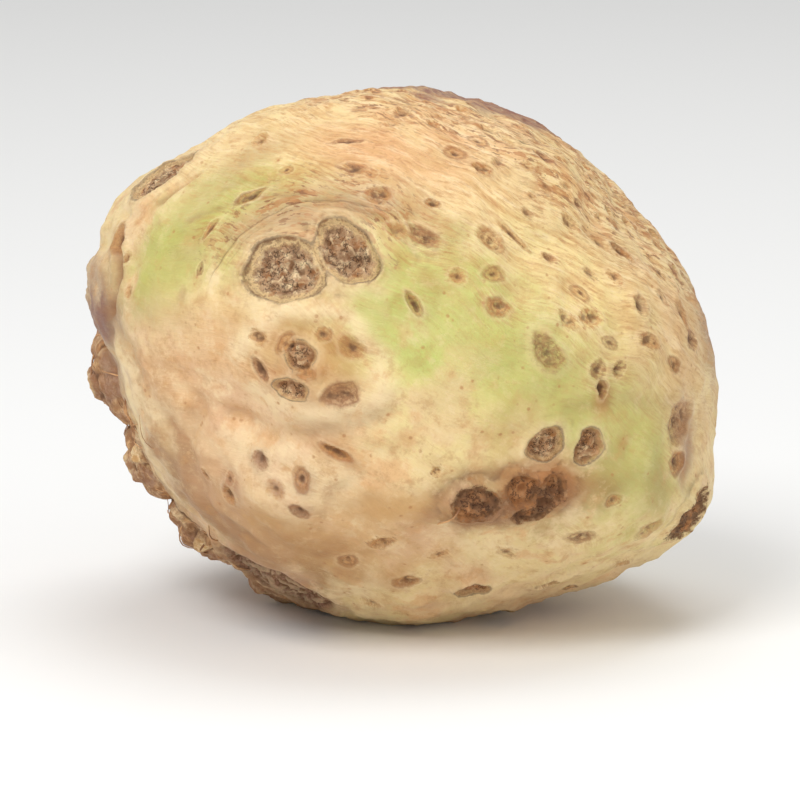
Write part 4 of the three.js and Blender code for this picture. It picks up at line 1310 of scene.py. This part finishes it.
def rootlet_material():
    g = Graph("rootlet")
    place = g.add("TexCoord").outputs["Object"]
    colour = g.mix(g.ramp(g.noise(place, 200.0), 0.35, 0.65), shown("umber"), shown("tan"))
    surface = g.add("BsdfPrincipled", {"Base Color": colour, "Roughness": 0.75})
    g.add("OutputMaterial", {"Surface": surface.outputs[0]})
    return g.material


# The stage, in metres: a pale floor, a large soft light from the upper left, a fill and a rim.
FLOOR_HALF = 3
FLOOR_COLOUR = (0.86, 0.86, 0.85, 1)
LIGHTS = (
    ("key", (-0.45, -0.75, 1.0), 0.6, 9.5),
    ("fill", (0.95, -0.7, 0.45), 0.9, 2.2),
    ("top", (0.15, 0.3, 1.3), 0.8, 6),
)
WORLD_STRENGTH = 0.5
SENSOR = 36
FRAME_WIDTH = 0.158
LIFT_IN_FRAME = 0.01


def plain_material(name, colour, roughness):
    g = Graph(name)
    surface = g.add("BsdfPrincipled", {"Base Color": colour, "Roughness": roughness})
    g.add("OutputMaterial", {"Surface": surface.outputs[0]})
    return g.material


def floor_piece():
    mesh = bpy.data.meshes.new("floor")
    corners = [(x, y, 0) for x, y in ((-1, -1), (1, -1), (1, 1), (-1, 1))]
    mesh.from_pydata([(x * FLOOR_HALF, y * FLOOR_HALF, 0) for x, y, _ in corners], [], [(0, 1, 2, 3)])
    mesh.materials.append(plain_material("floor", FLOOR_COLOUR, 0.9))
    floor = bpy.data.objects.new("floor", mesh)
    bpy.context.scene.collection.objects.link(floor)
    return floor


def add_lights(target):
    for name, place, size, power in LIGHTS:
        light = bpy.data.lights.new(name, "AREA")
        light.size = size
        light.energy = power
        lamp = bpy.data.objects.new(name, light)
        lamp.location = place
        lamp.rotation_mode = "QUATERNION"
        lamp.rotation_quaternion = (target - Vector(place)).to_track_quat("-Z", "Y")
        bpy.context.scene.collection.objects.link(lamp)
    world = bpy.data.worlds.new("studio")
    world.use_nodes = True
    world.node_tree.nodes["Background"].inputs["Color"].default_value = (1, 1, 1, 1)
    world.node_tree.nodes["Background"].inputs["Strength"].default_value = WORLD_STRENGTH
    bpy.context.scene.world = world
    bpy.context.scene.view_settings.view_transform = "Standard"


def add_camera(target):
    camera = bpy.data.cameras.new("camera")
    camera.sensor_width = SENSOR
    camera.lens = SENSOR * DISTANCE * METRE / FRAME_WIDTH
    holder = bpy.data.objects.new("camera", camera)
    back = Vector(TOWARD)
    holder.location = target + back * DISTANCE * METRE
    holder.rotation_mode = "QUATERNION"
    holder.rotation_quaternion = (-back).to_track_quat("-Z", "Y")
    bpy.context.scene.collection.objects.link(holder)
    bpy.context.scene.camera = holder


skin_part = skin_piece(skin_material())
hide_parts("celeriac_root")
rootlets = rootlets_piece(rootlet_material())
for piece in (skin_part, rootlets):
    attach(piece, "root")

middle = Vector(MIDDLE) * METRE
floor_piece()
add_lights(middle)
add_camera(middle - Vector((0, 0, LIFT_IN_FRAME)))
